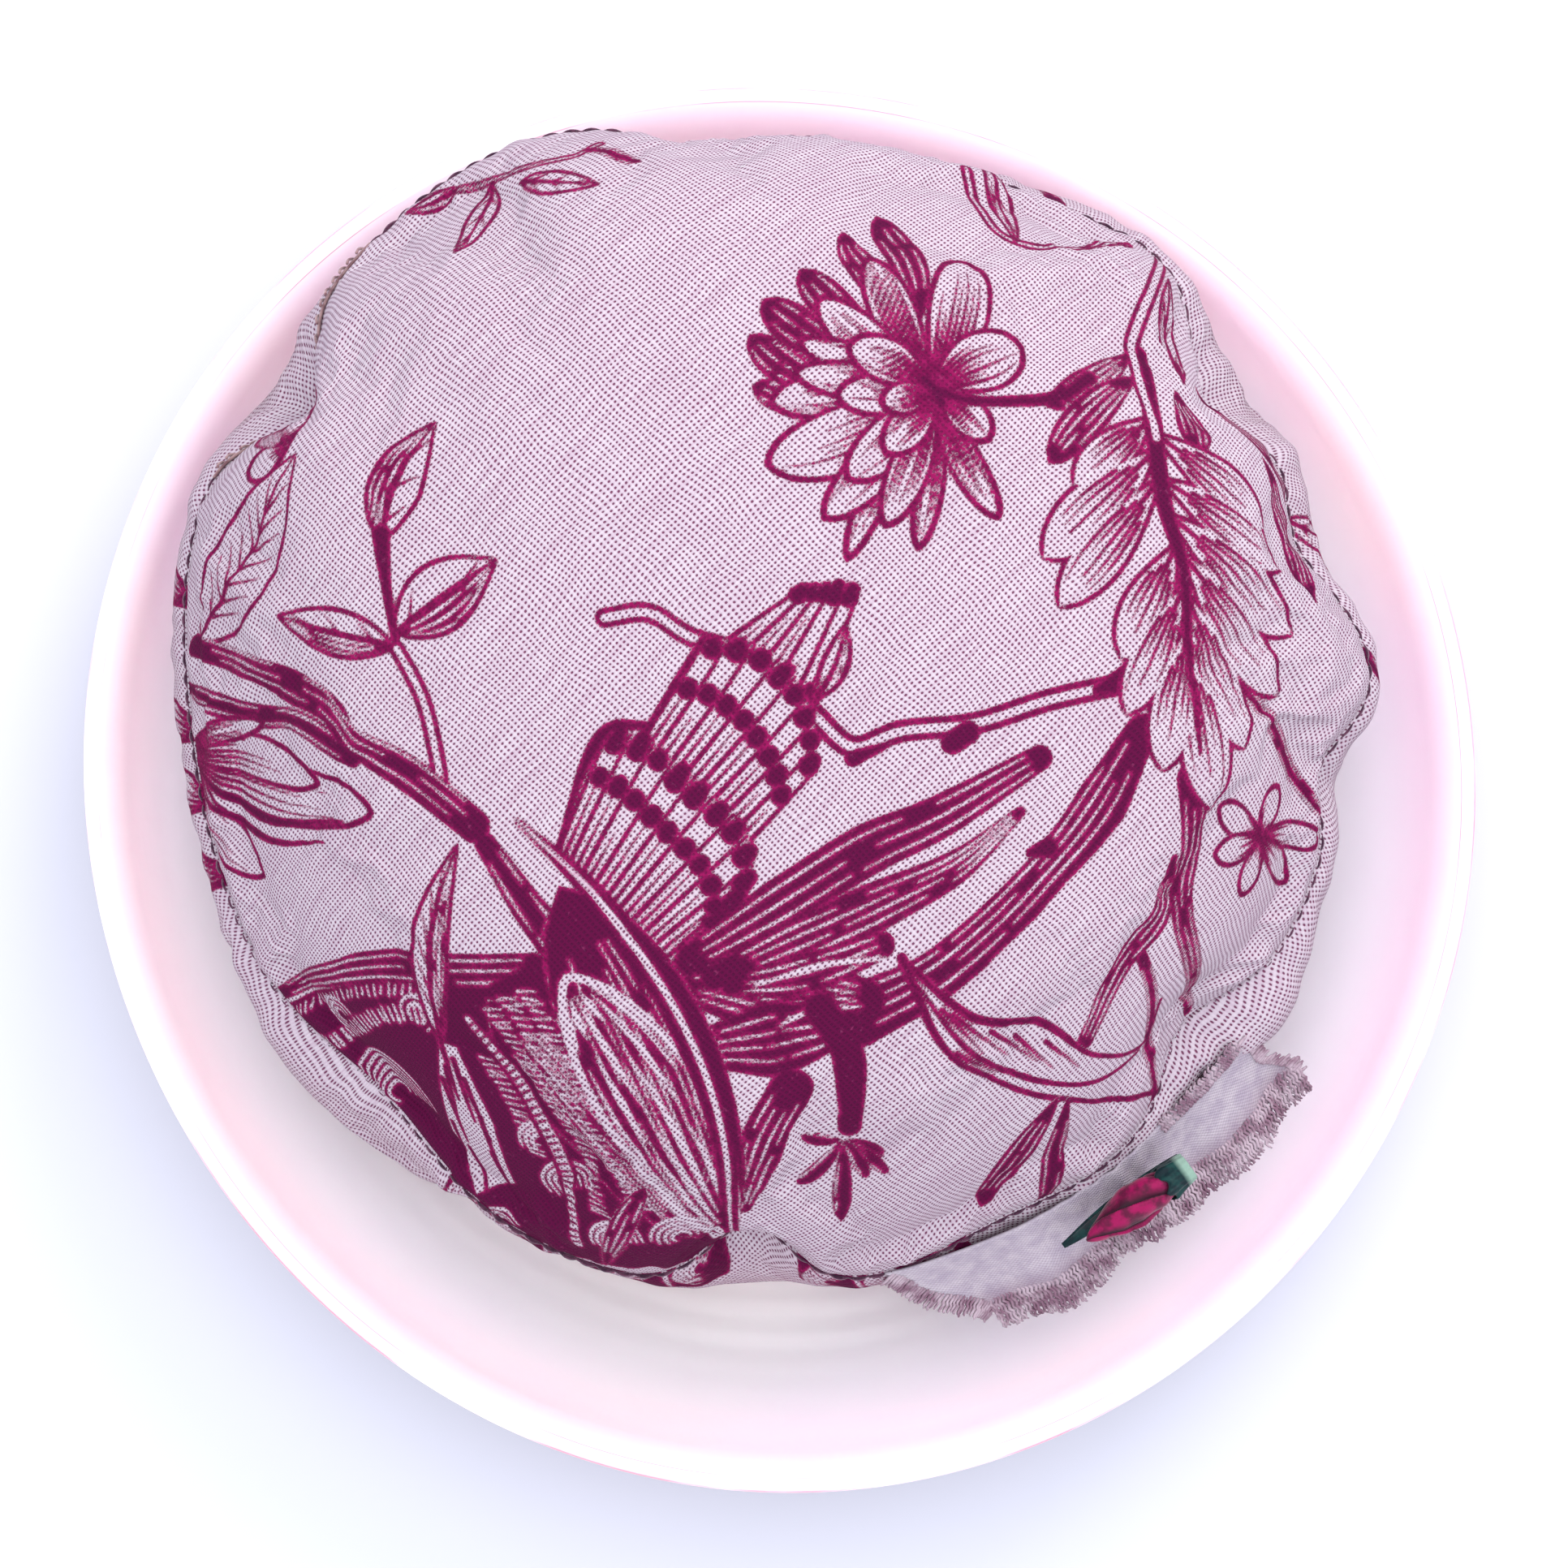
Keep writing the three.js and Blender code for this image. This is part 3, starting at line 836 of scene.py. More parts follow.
def draw_leaf_spray(cloth):
    for base, tip, width, bend in (
        ((39.8, 37.3), (28.5, 28.3), 3.8, 0.6), ((39.7, 33.8), (28.5, 22.1), 4.4, -0.6),
        ((44.5, 32.9), (46.4, 25.2), 4.6, 0.4), ((49.8, 36.3), (71.4, 25.5), 5.4, -1.2),
        ((57.0, 28.0), (64.6, 11.0), 4.6, 0.8),
    ):
        cloth.petal(base, tip, width, bend, lines=4, dark=True)
    cloth.leaf((46.3, 34.6), (48.0, 51.0), 3.8, 0.6, 3, shaded=1)
    cloth.lobed_leaf(
        [(40.6, 37.0), (41.0, 20.8), (43.3, 12.3), (44.4, 3.8), (46.3, -7.5)],
        (
            (0.18, (31.3, 20.2), 4.8), (0.62, (52.6, -6.9), 6.4), (0.75, (48.8, -13.6), 6.6),
            (0.26, (27.9, 12.4), 6.2), (0.34, (29.6, 7.5), 5.4), (0.22, (55.1, 18.2), 6.2),
            (0.34, (57.3, 13.8), 6.0), (0.42, (59.0, 6.5), 6.6), (0.52, (57.5, -0.6), 6.4),
            (0.50, (36.5, 2.3), 5.6), (0.60, (37.3, -3.4), 5.2), (0.70, (41.8, -9.3), 5.6),
        ),
        (2.6, 2.2, 1.4, 0.5),
    )
    cloth.twin_line([(49.0, 56.7), (41.2, 41.3), (39.9, 35.8), (40.9, 26.2)], 2.0, 0.55)
    cloth.twin_line([(23.8, 64.8), (26.1, 52.9), (34.0, 52.3), (43.3, 55.6)], 1.5, 0.55)
    cloth.leaf((27.3, 69.7), (28.0, 51.7), 3.4, 0.3, 3, shaded=-1)
    cloth.leaf((36.8, 53.2), (43.6, 56.2), 2.2, 0.0, 2)
    cloth.petal((70.6, 28.2), (77.0, 19.5), 2.2, 0.3, dark=True, lines=2)


def draw_right_side(cloth):
    cloth.branch([(50.1, 1.9), (60.5, -6.1), (73.8, -17.9)], 1.2, 2.2, 1.2, streaks=2)
    for tip in ((50.9, -13.5), (61.4, -11.4), (70.4, -17.5), (51.0, -19.1), (56.4, -24.1), (65.9, -23.3)):
        cloth.petal((58.0, -17.3), tip, 3.4, 0.3, lines=3)
    cloth.branch([(45.5, -10.1), (46.9, -18.0), (48.1, -27.3), (59.3, -43.7)], 4.0, 3.2, 2.8, 1.6)
    cloth.branch([(44.4, -19.0), (43.9, -26.2), (40.0, -31.8), (36.7, -40.4)], 1.2, 3.6, 2.8, 2.2)
    cloth.branch([(43.0, -31.0), (47.1, -38.9), (51.9, -54.9)], 1.6, 2.2, 1.4, streaks=2)
    cloth.leaf((52.0, -55.6), (59.6, -52.6), 2.8, 0.0, 2, shaded=1)


def draw_twig_and_branch(cloth):
    twig = [(37.0, -0.2), (28.8, -2.2), (21.3, -4.7), (13.8, -5.6), (8.8, -7.3), (4.7, -3.8)]
    cloth.twin_line(twig, 2.4, 0.75)
    cloth.stroke([(19.1, -6.7), (20.6, -5.7)], 2.6)
    cloth.stroke([(37.0, 0.0), (34.0, -0.9)], 3.4, 1.2)
    cloth.stroke([(8.8, -8.5), (11.8, -7.3)], 1.8, 1.0)
    limb = [(39.1, -5.1), (34.6, -13.7), (28.7, -21.1), (23.0, -26.8), (16.5, -31.7), (9.6, -34.7)]
    cloth.branch(limb, 3.6, 6.0, 4.8, 5.2, 5.6, 7.0, streaks=4, light=-0.15)
    cloth.stroke([(29.5, -17.7), (27.5, -18.2)], 2.4, 1.0)
    cloth.bare_stroke([(34.5, -19.0), (29.8, -24.2), (23.6, -29.8)], 0.9, 0.6, 0.3)


def draw_wings(cloth):
    cloth.twin_line([(-16.1, 5.9), (-11.6, 6.3), (-7.7, 4.0), (-3.7, 2.8)], 2.0, 0.6)
    cloth.barred_wing(
        [(-6.3, 1.7), (-1.3, -1.2), (4.7, -3.8)], [(3.2, 8.7), (6.8, 9.1), (9.1, 8.8)],
        5, ((0.95, 2.6), (0.12, 2.6)),
    )
    cloth.leaf((5.0, -2.3), (7.7, 5.3), 2.6, -0.5, 1, shaded=-1)
    cloth.barred_wing(
        [(-13.0, -6.6), (-7.1, -12.5), (-2.5, -17.3)],
        [(-6.2, 3.5), (-2.0, 3.2), (2.3, 0.5), (4.8, -4.7), (4.8, -9.7)],
        8, ((0.95, 2.8), (0.58, 2.2)),
    )
    cloth.barred_wing(
        [(-21.5, -17.6), (-16.7, -22.8), (-12.1, -27.6), (-8.0, -30.9)],
        [(-16.3, -5.4), (-12.3, -6.6), (-6.3, -11.5), (-2.5, -15.2), (-1.6, -19.8), (-5.3, -25.1)],
        11, ((0.95, 3.0), (0.64, 2.2)),
    )
    cloth.stroke([(-21.5, -17.6), (-19.1, -9.7), (-16.3, -5.3), (-12.6, -5.0)], 0.8, 0.8, 1.6, 1.0)
    cloth.stroke([(-13.0, -6.6), (-9.7, -1.2), (-6.2, 3.7)], 0.9)


def draw_bird(cloth):
    cloth.branch([(-8.0, -30.6), (1.1, -32.3), (9.6, -33.5)], 5.0, 8.6, 5.4, streaks=6)
    cloth.branch([(-6.4, -37.7), (0.3, -37.0), (8.0, -35.7)], 4.0, 8.4, 4.0, streaks=4)
    cloth.branch(
        [(-7.9, -28.4), (0.3, -23.5), (9.7, -18.1), (18.1, -14.4), (28.2, -8.2)],
        3.0, 5.2, 5.4, 4.4, 2.8, streaks=3,
    )
    cloth.branch(
        [(-5.4, -30.4), (2.9, -27.0), (12.2, -23.2), (20.0, -19.5), (26.4, -13.9)],
        3.0, 5.4, 5.2, 3.6, 1.2, streaks=4,
    )
    cloth.branch([(-3.8, -31.3), (4.5, -30.0), (11.7, -27.6)], 2.2, 4.4, 3.0, streaks=3)
    cloth.bare_stroke([(-1.3, -31.3), (5.3, -29.4), (12.7, -28.9)], 0.3, 0.7, 0.3)
    cloth.bare_stroke([(1.3, -35.5), (4.6, -34.1), (9.6, -33.8)], 0.3, 0.8, 0.2)
    cloth.stroke([(5.4, -33.8), (8.4, -39.0), (9.1, -47.9)], 3.6, 3.6, 2.6)
    cloth.bare_stroke([(6.4, -38.9), (7.6, -46.0)], 0.35)
    for tip, width in (
        ((13.3, -52.2), 2.0), ((14.0, -55.0), 1.7), ((3.8, -48.9), 1.7),
        ((3.4, -56.1), 2.0), ((8.2, -62.2), 2.4), ((11.5, -55.2), 1.8),
    ):
        cloth.petal((8.5, -49.8), tip, width, 0.3, dark=True, lines=1)
    cloth.branch([(2.4, -42.6), (-0.9, -49.6), (-2.9, -59.9)], 5.0, 5.2, 2.2, streaks=4)


def draw_pointed_leaves(cloth):
    cloth.bare([(14.1, -29.2), (18.4, -38.6), (26.9, -44.9), (35.3, -48.3), (48.9, -49.5),
                (37.4, -41.4), (29.2, -36.8), (21.9, -35.4)])
    lower = [(13.9, -29.0), (18.8, -38.9), (26.9, -44.9), (35.9, -48.3), (53.7, -52.1)]
    upper = [(14.1, -29.4), (21.9, -35.7), (30.2, -37.4), (38.1, -42.2), (47.5, -43.7), (48.1, -37.4)]
    rib = [(15.7, -32.1), (22.0, -39.8), (30.7, -44.8), (39.4, -46.2), (46.8, -44.5)]
    cloth.stroke(lower, 1.2, 0.7, 0.9, 0.8)
    cloth.stroke(upper, 0.8, 1.2, 0.7, 0.6)
    cloth.stroke(rib, 0.5, 0.9, 0.5)
    for start, end in (
        ((18.4, -34.7), (23.3, -39.8)), ((19.6, -35.3), (26.6, -40.9)), ((24.2, -37.6), (30.5, -42.2)),
        ((27.4, -38.7), (32.6, -43.2)), ((31.3, -39.9), (36.2, -43.7)), ((20.2, -39.6), (25.4, -43.1)),
    ):
        cloth.stroke([start, end], 0.7, 0.25)
    cloth.petal((33.9, -47.3), (27.1, -65.2), 4.6, -0.5, lines=3, dark=True)
    cloth.petal((35.1, -47.5), (36.7, -67.7), 3.4, -0.3, lines=2, dark=True)


def draw_left_sprig(cloth):
    cloth.leaf((-39.5, 14.5), (-33.6, 26.4), 6.0, 1.2, 3, shaded=1)
    cloth.leaf((-38.3, 5.0), (-27.0, 11.9), 7.0, 0.3, 2, shaded=-1)
    cloth.leaf((-38.6, 3.7), (-52.9, 7.9), 4.8, 0.2, 3, shaded=1)
    cloth.stroke([(-38.3, 3.9), (-39.0, 9.3), (-39.5, 15.3)], 1.0, 1.2, 2.2)
    cloth.twin_line([(-38.3, 3.4), (-35.8, -1.7), (-34.5, -7.7), (-33.9, -12.5)], 1.9, 0.6)


def draw_left_side(cloth):
    cloth.leaf((-68.5, 7.2), (-50.9, 25.4), 11.0, -1.6, 7)
    for tip, width in (
        ((-55.4, 37.9), 4.6), ((-53.7, 33.3), 3.6), ((-58.3, 25.2), 4.4), ((-62.0, 32.7), 3.2),
    ):
        cloth.petal((-52.3, 26.9), tip, width, 0.3, lines=5, dark=tip[0] < -60)
    arm = [(-75.8, 3.0), (-60.6, -2.5), (-52.4, -3.6), (-44.7, -7.5)]
    cloth.branch(arm, 1.4, 3.4, 2.4, 3.2, streaks=2)
    trunk = [(-70.2, 7.1), (-55.5, 1.4), (-47.1, -2.4), (-44.6, -5.9), (-38.1, -9.5), (-30.6, -15.3)]
    cloth.branch(trunk, 3.0, 2.8, 4.0, 3.0, 4.0, 3.6, streaks=3, light=0.2)
    base = (-75.6, -5.8)
    for tip, width, bend in (
        ((-62.3, -21.8), 5.6, -1.4), ((-42.4, -13.9), 7.0, -1.0), ((-50.3, -10.7), 5.0, 1.4),
        ((-58.6, -3.7), 2.6, 0.6),
    ):
        cloth.petal(base, tip, width, bend, hatch=0.75, lines=5)
    cloth.stroke([(-74.5, -7.8), (-60.1, -14.4), (-46.5, -15.2)], 0.8, 1.5, 0.5)
    cloth.stroke([(-74.2, -10.5), (-60.6, -16.8), (-49.7, -17.6)], 0.7, 1.2, 0.4)
    cloth.twin_line([(-44.4, 61.4), (-32.4, 59.3), (-22.7, 59.1), (-18.7, 62.1)], 1.2, 0.45)
    cloth.leaf((-31.4, 58.7), (-34.0, 47.4), 3.6, 0.4, 3)
    cloth.leaf((-26.9, 56.8), (-17.7, 53.7), 3.4, -0.3, 3)
    cloth.petal((-20.8, 61.1), (-13.6, 58.3), 2.2, 0.2, dark=True, lines=2)
    cloth.leaf((-36.1, 60.3), (-43.1, 58.7), 2.2, 0.2, 2, shaded=1)


def draw_scrolls(cloth):
    for centre, radius, rings, start, end in (
        ((-49.1, -52.0), 6.6, 6, -5, 190), ((-53.9, -40.5), 2.8, 3, 20, 250),
        ((-39.7, -37.0), 2.2, 2, -60, 170), ((-23.1, -56.9), 3.6, 4, 20, 215),
        ((-17.5, -63.7), 3.2, 4, 10, 200), ((-10.0, -62.5), 3.4, 4, -10, 185),
        ((-26.1, -51.1), 2.6, 3, 10, 200), ((-33.7, -67.0), 2.8, 3, 30, 220),
    ):
        cloth.scroll(centre, radius, rings, start, end)
    cloth.ladder([(-62.1, -45.1), (-57.0, -44.9), (-45.6, -38.3), (-37.8, -36.7)], 1.9, 0.95, width=0.5)
    cloth.ladder([(-63.7, -41.1), (-47.1, -35.3), (-37.2, -33.8)], 1.2, 1.05, slant=0.5)


def draw_hatched_leaves(cloth):
    cloth.bare([(-37.2, -40.0), (-35.0, -40.4), (-32.0, -49.6), (-31.4, -59.5), (-37.2, -62.7),
                (-40.0, -54.4), (-38.8, -47.0)])
    for start, end in (
        ((-36.9, -40.8), (-36.3, -47.6)), ((-35.7, -42.0), (-34.7, -50.3)), ((-38.0, -45.1), (-37.2, -54.7)),
        ((-34.8, -44.5), (-32.9, -52.7)), ((-38.9, -52.1), (-39.4, -62.6)), ((-33.7, -49.4), (-32.6, -58.0)),
        ((-33.3, -54.7), (-32.2, -62.1)), ((-37.0, -43.3), (-37.4, -50.4)), ((-37.4, -55.9), (-35.6, -63.3)),
    ):
        cloth.stroke([start, end], 0.95, 0.5)
    bead_band = [(-32.4, -36.3), (-28.9, -41.0), (-25.9, -47.1), (-23.5, -54.8), (-22.8, -65.8)]
    cloth.stroke(bead_band, 2.6)
    cloth.bare_stroke(bead_band, 0.8, 1.5, 1.2)
    cloth.ladder(bead_band, 1.1, 0.95, bare=False, width=0.45)
    for line in (
        [(-29.6, -34.2), (-24.5, -42.7), (-20.4, -52.0), (-18.9, -60.0)],
        [(-27.6, -32.8), (-21.9, -42.5), (-17.5, -50.7), (-14.0, -58.1)],
        [(-25.5, -31.9), (-20.9, -39.9), (-15.5, -48.6), (-10.2, -56.8)],
        [(-31.5, -40.6), (-28.6, -46.2), (-26.7, -52.8)],
    ):
        cloth.ladder(line, 1.7, 0.85, slant=0.9, width=0.34)
    cloth.leaf((-37.0, -40.3), (-32.5, -17.3), 4.4, 1.6, 6, shaded=-1)


def draw_lower_left(cloth):
    bough = [(-66.7, -39.0), (-47.7, -32.6), (-37.1, -31.3), (-24.2, -30.1)]
    cloth.branch(bough, 1.6, 3.4, 4.4, 3.6, streaks=3)
    cloth.fill([(-65.3, -40.2), (-46.9, -33.9), (-29.6, -32.0), (-24.1, -28.8), (-14.8, -41.3),
                (-5.5, -69.8), (-7.9, -77.8), (-14.6, -69.7), (-30.3, -71.5), (-38.3, -67.5),
                (-48.4, -61.4), (-60.3, -50.1), (-67.3, -41.2)])
    cloth.branch([(-29.4, -17.1), (-25.0, -23.4), (-20.6, -28.7)], 2.4, 3.6, 4.4, streaks=2)
    root = (-4.4, -66.1)
    for tip, width, bend in (((-29.7, -33.7), 12.0, -1.2), ((-21.5, -21.3), 15.0, -2.2)):
        cloth.petal(root, tip, width, bend, dark=True, lines=10)
    draw_scrolls(cloth)
    draw_hatched_leaves(cloth)
    middle, half = blade(root, (-20.7, -30.8), 11.0, -2.4, 0.6, 0.6)
    cloth.bare_stroke(cloth.outline_of(middle, half), 0.9)
    cloth.streaks(middle, half, 6, True, -0.8, 0.8, 0.1, 0.95, 0.95)
    cloth.streaks(middle, half, 5, False, -0.7, 0.7, 0.2, 0.85, 0.5)
    sheath = [(-25.9, -14.8), (-17.2, -22.8), (-9.1, -34.3), (-4.8, -47.6), root]
    cloth.stroke(sheath, 0.8, 3.0, 3.4, 2.6, 1.6)
    cloth.bare_stroke(sheath, 0.3, 0.8, 0.7, 0.6, 0.3)
    cloth.petal((-20.5, -70.8), (-13.6, -54.7), 3.0, 0.3, dark=True, lines=3)


def print_design(places):
    """The upper panel's print; what is drawn later lies over what is drawn before."""
    cloth = Print(places)
    for draw in (
        draw_right_side, draw_twig_and_branch, draw_leaf_spray, draw_blossom, draw_wings, draw_bird,
        draw_left_sprig, draw_left_side, draw_lower_left, draw_pointed_leaves,
    ):
        draw(cloth)
    return cloth


# ---- Cloth panels -------------------------------------------------------------------------------

SIM_COUNT = 104  # squares along the side of the grid that is simulated
SIM_STEPS = 20
UPPER_COUNT = 472
LOWER_COUNT = 312
INSIDE_COUNT = 96
STUFFING_COUNT = 80
SEAM_GROOVE = 0.35
CLOTH_THICKNESS = 0.6
STUFFING_INSET = 2.6
STUFFING_SEAM_INSET = 2.4
MOST_SHIFT = 2.5  # how far the cloth run may move a point of the cushion
PUCKER_SIZE = 0.35
PUCKER_AT_GATHER = 0.05  # more of it for each millimetre that a gather draws in
PUCKER_WAVES = ((41, 0.30), (67, 0.26), (97, 0.2), (29, 0.24))  # how many round the seam, and size


def seam_detail(disc, points, lower):
    """The groove along the seam, and the small puckers that the gathering leaves beside it."""
    out = np.clip(np.hypot(disc[..., 0], disc[..., 1]), 0, 1)
    turn = np.arctan2(disc[..., 1], disc[..., 0])
    inward = (1 - out) * CLOTH_RADIUS
    drawn_in = [(angle, depth, 2 * half_width) for angle, depth, half_width in GATHERS if depth > 0]
    size = PUCKER_SIZE + PUCKER_AT_GATHER * bells(np.degrees(turn), drawn_in)
    phase = 1.6 if lower else 0.0
    ripple = sum(high * np.cos(n * turn + 2.4 * np.sin(3 * turn + n) + phase) for n, high in PUCKER_WAVES)
    fade = np.exp(-((inward - 1.6) / 4.5) ** 2) * smooth_step(0.0, 1.4, inward)
    push = size * ripple * fade - SEAM_GROOVE * np.exp(-((inward / 1.2) ** 2))
    moved = points.copy()
    moved[..., :2] += push[..., None] * unit(points[..., :2] - CENTRE)
    return moved


def on_edge(count):
    """Which points of a square grid lie on its edge."""
    edge = np.ones((count + 1, count + 1), dtype=bool)
    edge[1:-1, 1:-1] = False
    return edge


def closed_cushion(name, upper, lower):
    """Two square grids sewn together at their edge, as one mesh, and each lower point's number.

    The lower grid's own edge points are left loose in the mesh.
    """
    count = len(upper) - 1
    index = np.arange((count + 1) ** 2).reshape(count + 1, count + 1)
    numbers = np.where(on_edge(count), index, index + index.size)
    faces = grid_faces(count + 1, count + 1)
    below = numbers.ravel().tolist()
    faces += [tuple(below[k] for k in reversed(face)) for face in faces]
    return piece_from(name, np.vstack([upper.reshape(-1, 3), lower.reshape(-1, 3)]), faces), numbers


def drop_loose_points(piece):
    mesh = bmesh.new()
    mesh.from_mesh(piece.data)
    bmesh.ops.delete(mesh, geom=[v for v in mesh.verts if not v.link_faces], context="VERTS")
    mesh.to_mesh(piece.data)
    mesh.free()


def make_cloth(shell):
    """Lets a closed shell swell as stuffed cloth does, apart from the points held in place."""
    cloth = shell.modifiers.new("Cloth", "CLOTH")
    settings = cloth.settings
    settings.quality = 6
    settings.mass = 0.2
    settings.tension_stiffness = 40
    settings.compression_stiffness = 40
    settings.shear_stiffness = 12
    settings.bending_stiffness = 0.05
    settings.use_pressure = True
    settings.uniform_pressure_force = 4
    settings.shrink_min = -0.012
    settings.vertex_group_mass = "held"
    settings.effector_weights.gravity = 0
    cloth.collision_settings.use_collision = False


def cloth_move(count):
    """How a stuffed and gathered cushion settles: each panel point's shift, from a cloth run."""
    disc = disc_grid(count)
    upper = panel_points(disc, False)
    lower = panel_points(disc, True)
    shell, below = closed_cushion("cloth_run", upper, lower)
    edge = on_edge(count)
    rests = (lower[..., 2] < CUSHION_LOW + 0.6) & ~edge
    held = shell.vertex_groups.new(name="held")
    held.add(below[edge].tolist(), 1.0, "REPLACE")
    held.add(below[rests].tolist(), 1.0, "REPLACE")
    make_cloth(shell)
    scene = bpy.context.scene
    for step in range(SIM_STEPS):
        scene.frame_set(step + 1)
    settled = shell.evaluated_get(bpy.context.evaluated_depsgraph_get())
    after = np.empty(len(settled.data.vertices) * 3)
    settled.data.vertices.foreach_get("co", after)
    after = after.reshape(-1, 3) / MM
    bpy.data.objects.remove(shell)
    scene.frame_set(1)
    return after[:disc[..., 0].size].reshape(upper.shape) - upper, after[below] - lower


def capped(shift, most):
    length = np.linalg.norm(shift, axis=-1, keepdims=True)
    return shift * np.minimum(1.0, most / np.maximum(length, 1e-9))


def finer(values, count):
    """Values on a square grid, on a finer grid, by cubic interpolation along each side."""
    coarse = values.shape[0]
    place = np.linspace(0, coarse - 1, count + 1)
    base = np.clip(place.astype(int), 0, coarse - 2)
    t = place - base
    weights = np.zeros((count + 1, coarse))
    rows = np.arange(count + 1)
    for offset, share in (
        (-1, -0.5 * t + t ** 2 - 0.5 * t ** 3),
        (0, 1 - 2.5 * t ** 2 + 1.5 * t ** 3),
        (1, 0.5 * t + 2 * t ** 2 - 1.5 * t ** 3),
        (2, -0.5 * t ** 2 + 0.5 * t ** 3),
    ):
        np.add.at(weights, (rows, np.clip(base + offset, 0, coarse - 1)), share)
    return np.einsum("ai,bj,ijk->abk", weights, weights, values, optimize=True)


def panel_surface(count, lower, shift):
    """A panel's outside: its disc grid and its points on the settled cushion."""
    disc = disc_grid(count)
    points = panel_points(disc, lower)
    if shift is not None:
        out = np.hypot(disc[..., 0], disc[..., 1])
        loose = 0.35 + 0.65 * smooth_step(0.5, 0.85, out) - 0.8 * smooth_step(0.93, 1.0, out)
        points = points + loose[..., None] * finer(capped(shift, MOST_SHIFT), count)
    points[..., 2] = np.maximum(points[..., 2], CUSHION_LOW)
    return disc, seam_detail(disc, points, lower)


def joined_edges(outer, inner, start):
    """Faces between a fine edge loop and a coarse one, whose points are numbered from start on."""
    faces = []
    for k, (a, b) in enumerate(zip(outer, outer[1:] + outer[:1])):
        here = start + inner[k * len(inner) // len(outer)]
        following = start + inner[(k + 1) * len(inner) // len(outer) % len(inner)]
        faces.append((a, b, following) if here == following else (a, b, following, here))
    return faces


def panel_piece(name, node, count, lower, shift, material):
    """A cloth panel with thickness: outside, inside, and the turned edge that joins them."""
    disc, outside = panel_surface(count, lower, shift)
    inner_disc, inside = panel_surface(INSIDE_COUNT, lower, shift)
    inside = inside + CLOTH_THICKNESS * inward_normals(inside, lower)
    start = (count + 1) ** 2
    fine, coarse = count + 1, INSIDE_COUNT + 1
    faces = grid_faces(fine, fine) + grid_faces(coarse, coarse, start=start)
    faces += joined_edges(border(fine, fine), border(coarse, coarse), start)
    piece = piece_from(name, np.vstack([outside.reshape(-1, 3), inside.reshape(-1, 3)]), faces)
    places = np.vstack([disc.reshape(-1, 2), inner_disc.reshape(-1, 2)]) * CLOTH_RADIUS
    mark_cloth(piece, places)
    painted = print_underside(places[:start]) if lower else print_design(places[:start])
    mark(piece, "ink", np.concatenate([painted.ink, np.full(coarse ** 2, UNPRINTED)]))
    mark(piece, "tint", np.concatenate([painted.tint, np.zeros(coarse ** 2)]))
    piece.data.materials.append(material)
    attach(piece, "cushion")
    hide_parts(node)


def inward_normals(points, lower):
    """Unit vectors from the outside of the cloth into the cushion."""
    into = unit(np.cross(np.gradient(points, axis=0), np.gradient(points, axis=1)))
    return into if lower else -into


def print_underside(places):
    """The lower panel's print: the design runs on past the seam only here and there."""
    cloth = Print(places)

    def at(angle, inward):
        turn = math.radians(angle)
        return ((CLOTH_RADIUS - inward) * math.cos(turn), (CLOTH_RADIUS - inward) * math.sin(turn))

    for start, end in ((236, 266), (273, 291)):
        angles = np.arange(start, end + 1, 3)
        beyond = [at(angle, -1) for angle in angles]
        cloth.fill(beyond + [at(angle, 5.2 + 0.8 * math.cos(angle / 3)) for angle in angles[::-1]])
        for angle in angles[1:-1:2]:
            cloth.scroll(at(angle, 1.6 + 1.4 * (angle % 4 < 2)), 3.0, 4, angle - 190, angle + 10)
            cloth.bare_stroke([at(angle + 2.6, 0.2), at(angle + 3.4, 5.0)], 0.7, 0.3)
    for angle, width in ((183, 5.0), (190, 5.5), (198, 5.0), (170, 4.0)):
        cloth.petal(at(angle, -1), at(angle - 3, 9), width, 0.8, hatch=0.7, lines=4)
    cloth.branch([at(5, 0), at(1, 6), at(-2, 14)], 2.0, 1.4, 0.8, streaks=1)
    cloth.leaf(at(20, 0), at(14, 12), 5.0, 0.8, 4)
    cloth.leaf(at(120, 4), at(131, 14), 6.0, 0.8, 4, shaded=1)
    cloth.branch([at(60, 0), at(66, 10), at(78, 14)], 2.4, 1.8, 1.0, streaks=2)
    return cloth


WEAVE_TURN = -45.5  # the warp's direction on the panel, in degrees
WARP_PITCH = 0.593
WEFT_PITCH = 0.439


def woven_place(look, flat):
    """The place on the cloth, turned to its threads, which wander a little."""
    drift = look.node("ShaderNodeTexNoise")
    look.plug(drift.inputs["Vector"], flat)
    drift.inputs["Scale"].default_value = 0.12
    drift.inputs["Detail"].default_value = 2.0
    warped = look.node("ShaderNodeVectorMath", operation="ADD")
    look.plug(warped.inputs[0], flat)
    look.plug(warped.inputs[1], look.scaled(drift.outputs["Color"], (1.6, 1.6, 0.0)))
    turned = look.node("ShaderNodeVectorRotate", rotation_type="Z_AXIS")
    look.plug(turned.inputs["Vector"], warped.outputs[0])
    turned.inputs["Angle"].default_value = math.radians(WEAVE_TURN)
    return turned.outputs[0]


def thread_ridges(look, woven):
    """How near a place is to the middle of a warp thread, and of a weft thread, from 0 to 1."""
    split = look.node("ShaderNodeSeparateXYZ")
    look.plug(split.inputs[0], woven)
    ridges = []
    for axis, pitch in ((0, WARP_PITCH), (1, WEFT_PITCH)):
        turn = look.times(look.math("DIVIDE", split.outputs[axis], pitch), 2 * math.pi)
        ridges.append(look.math("MULTIPLY_ADD", look.math("COSINE", turn), 0.5, 0.5))
    return ridges


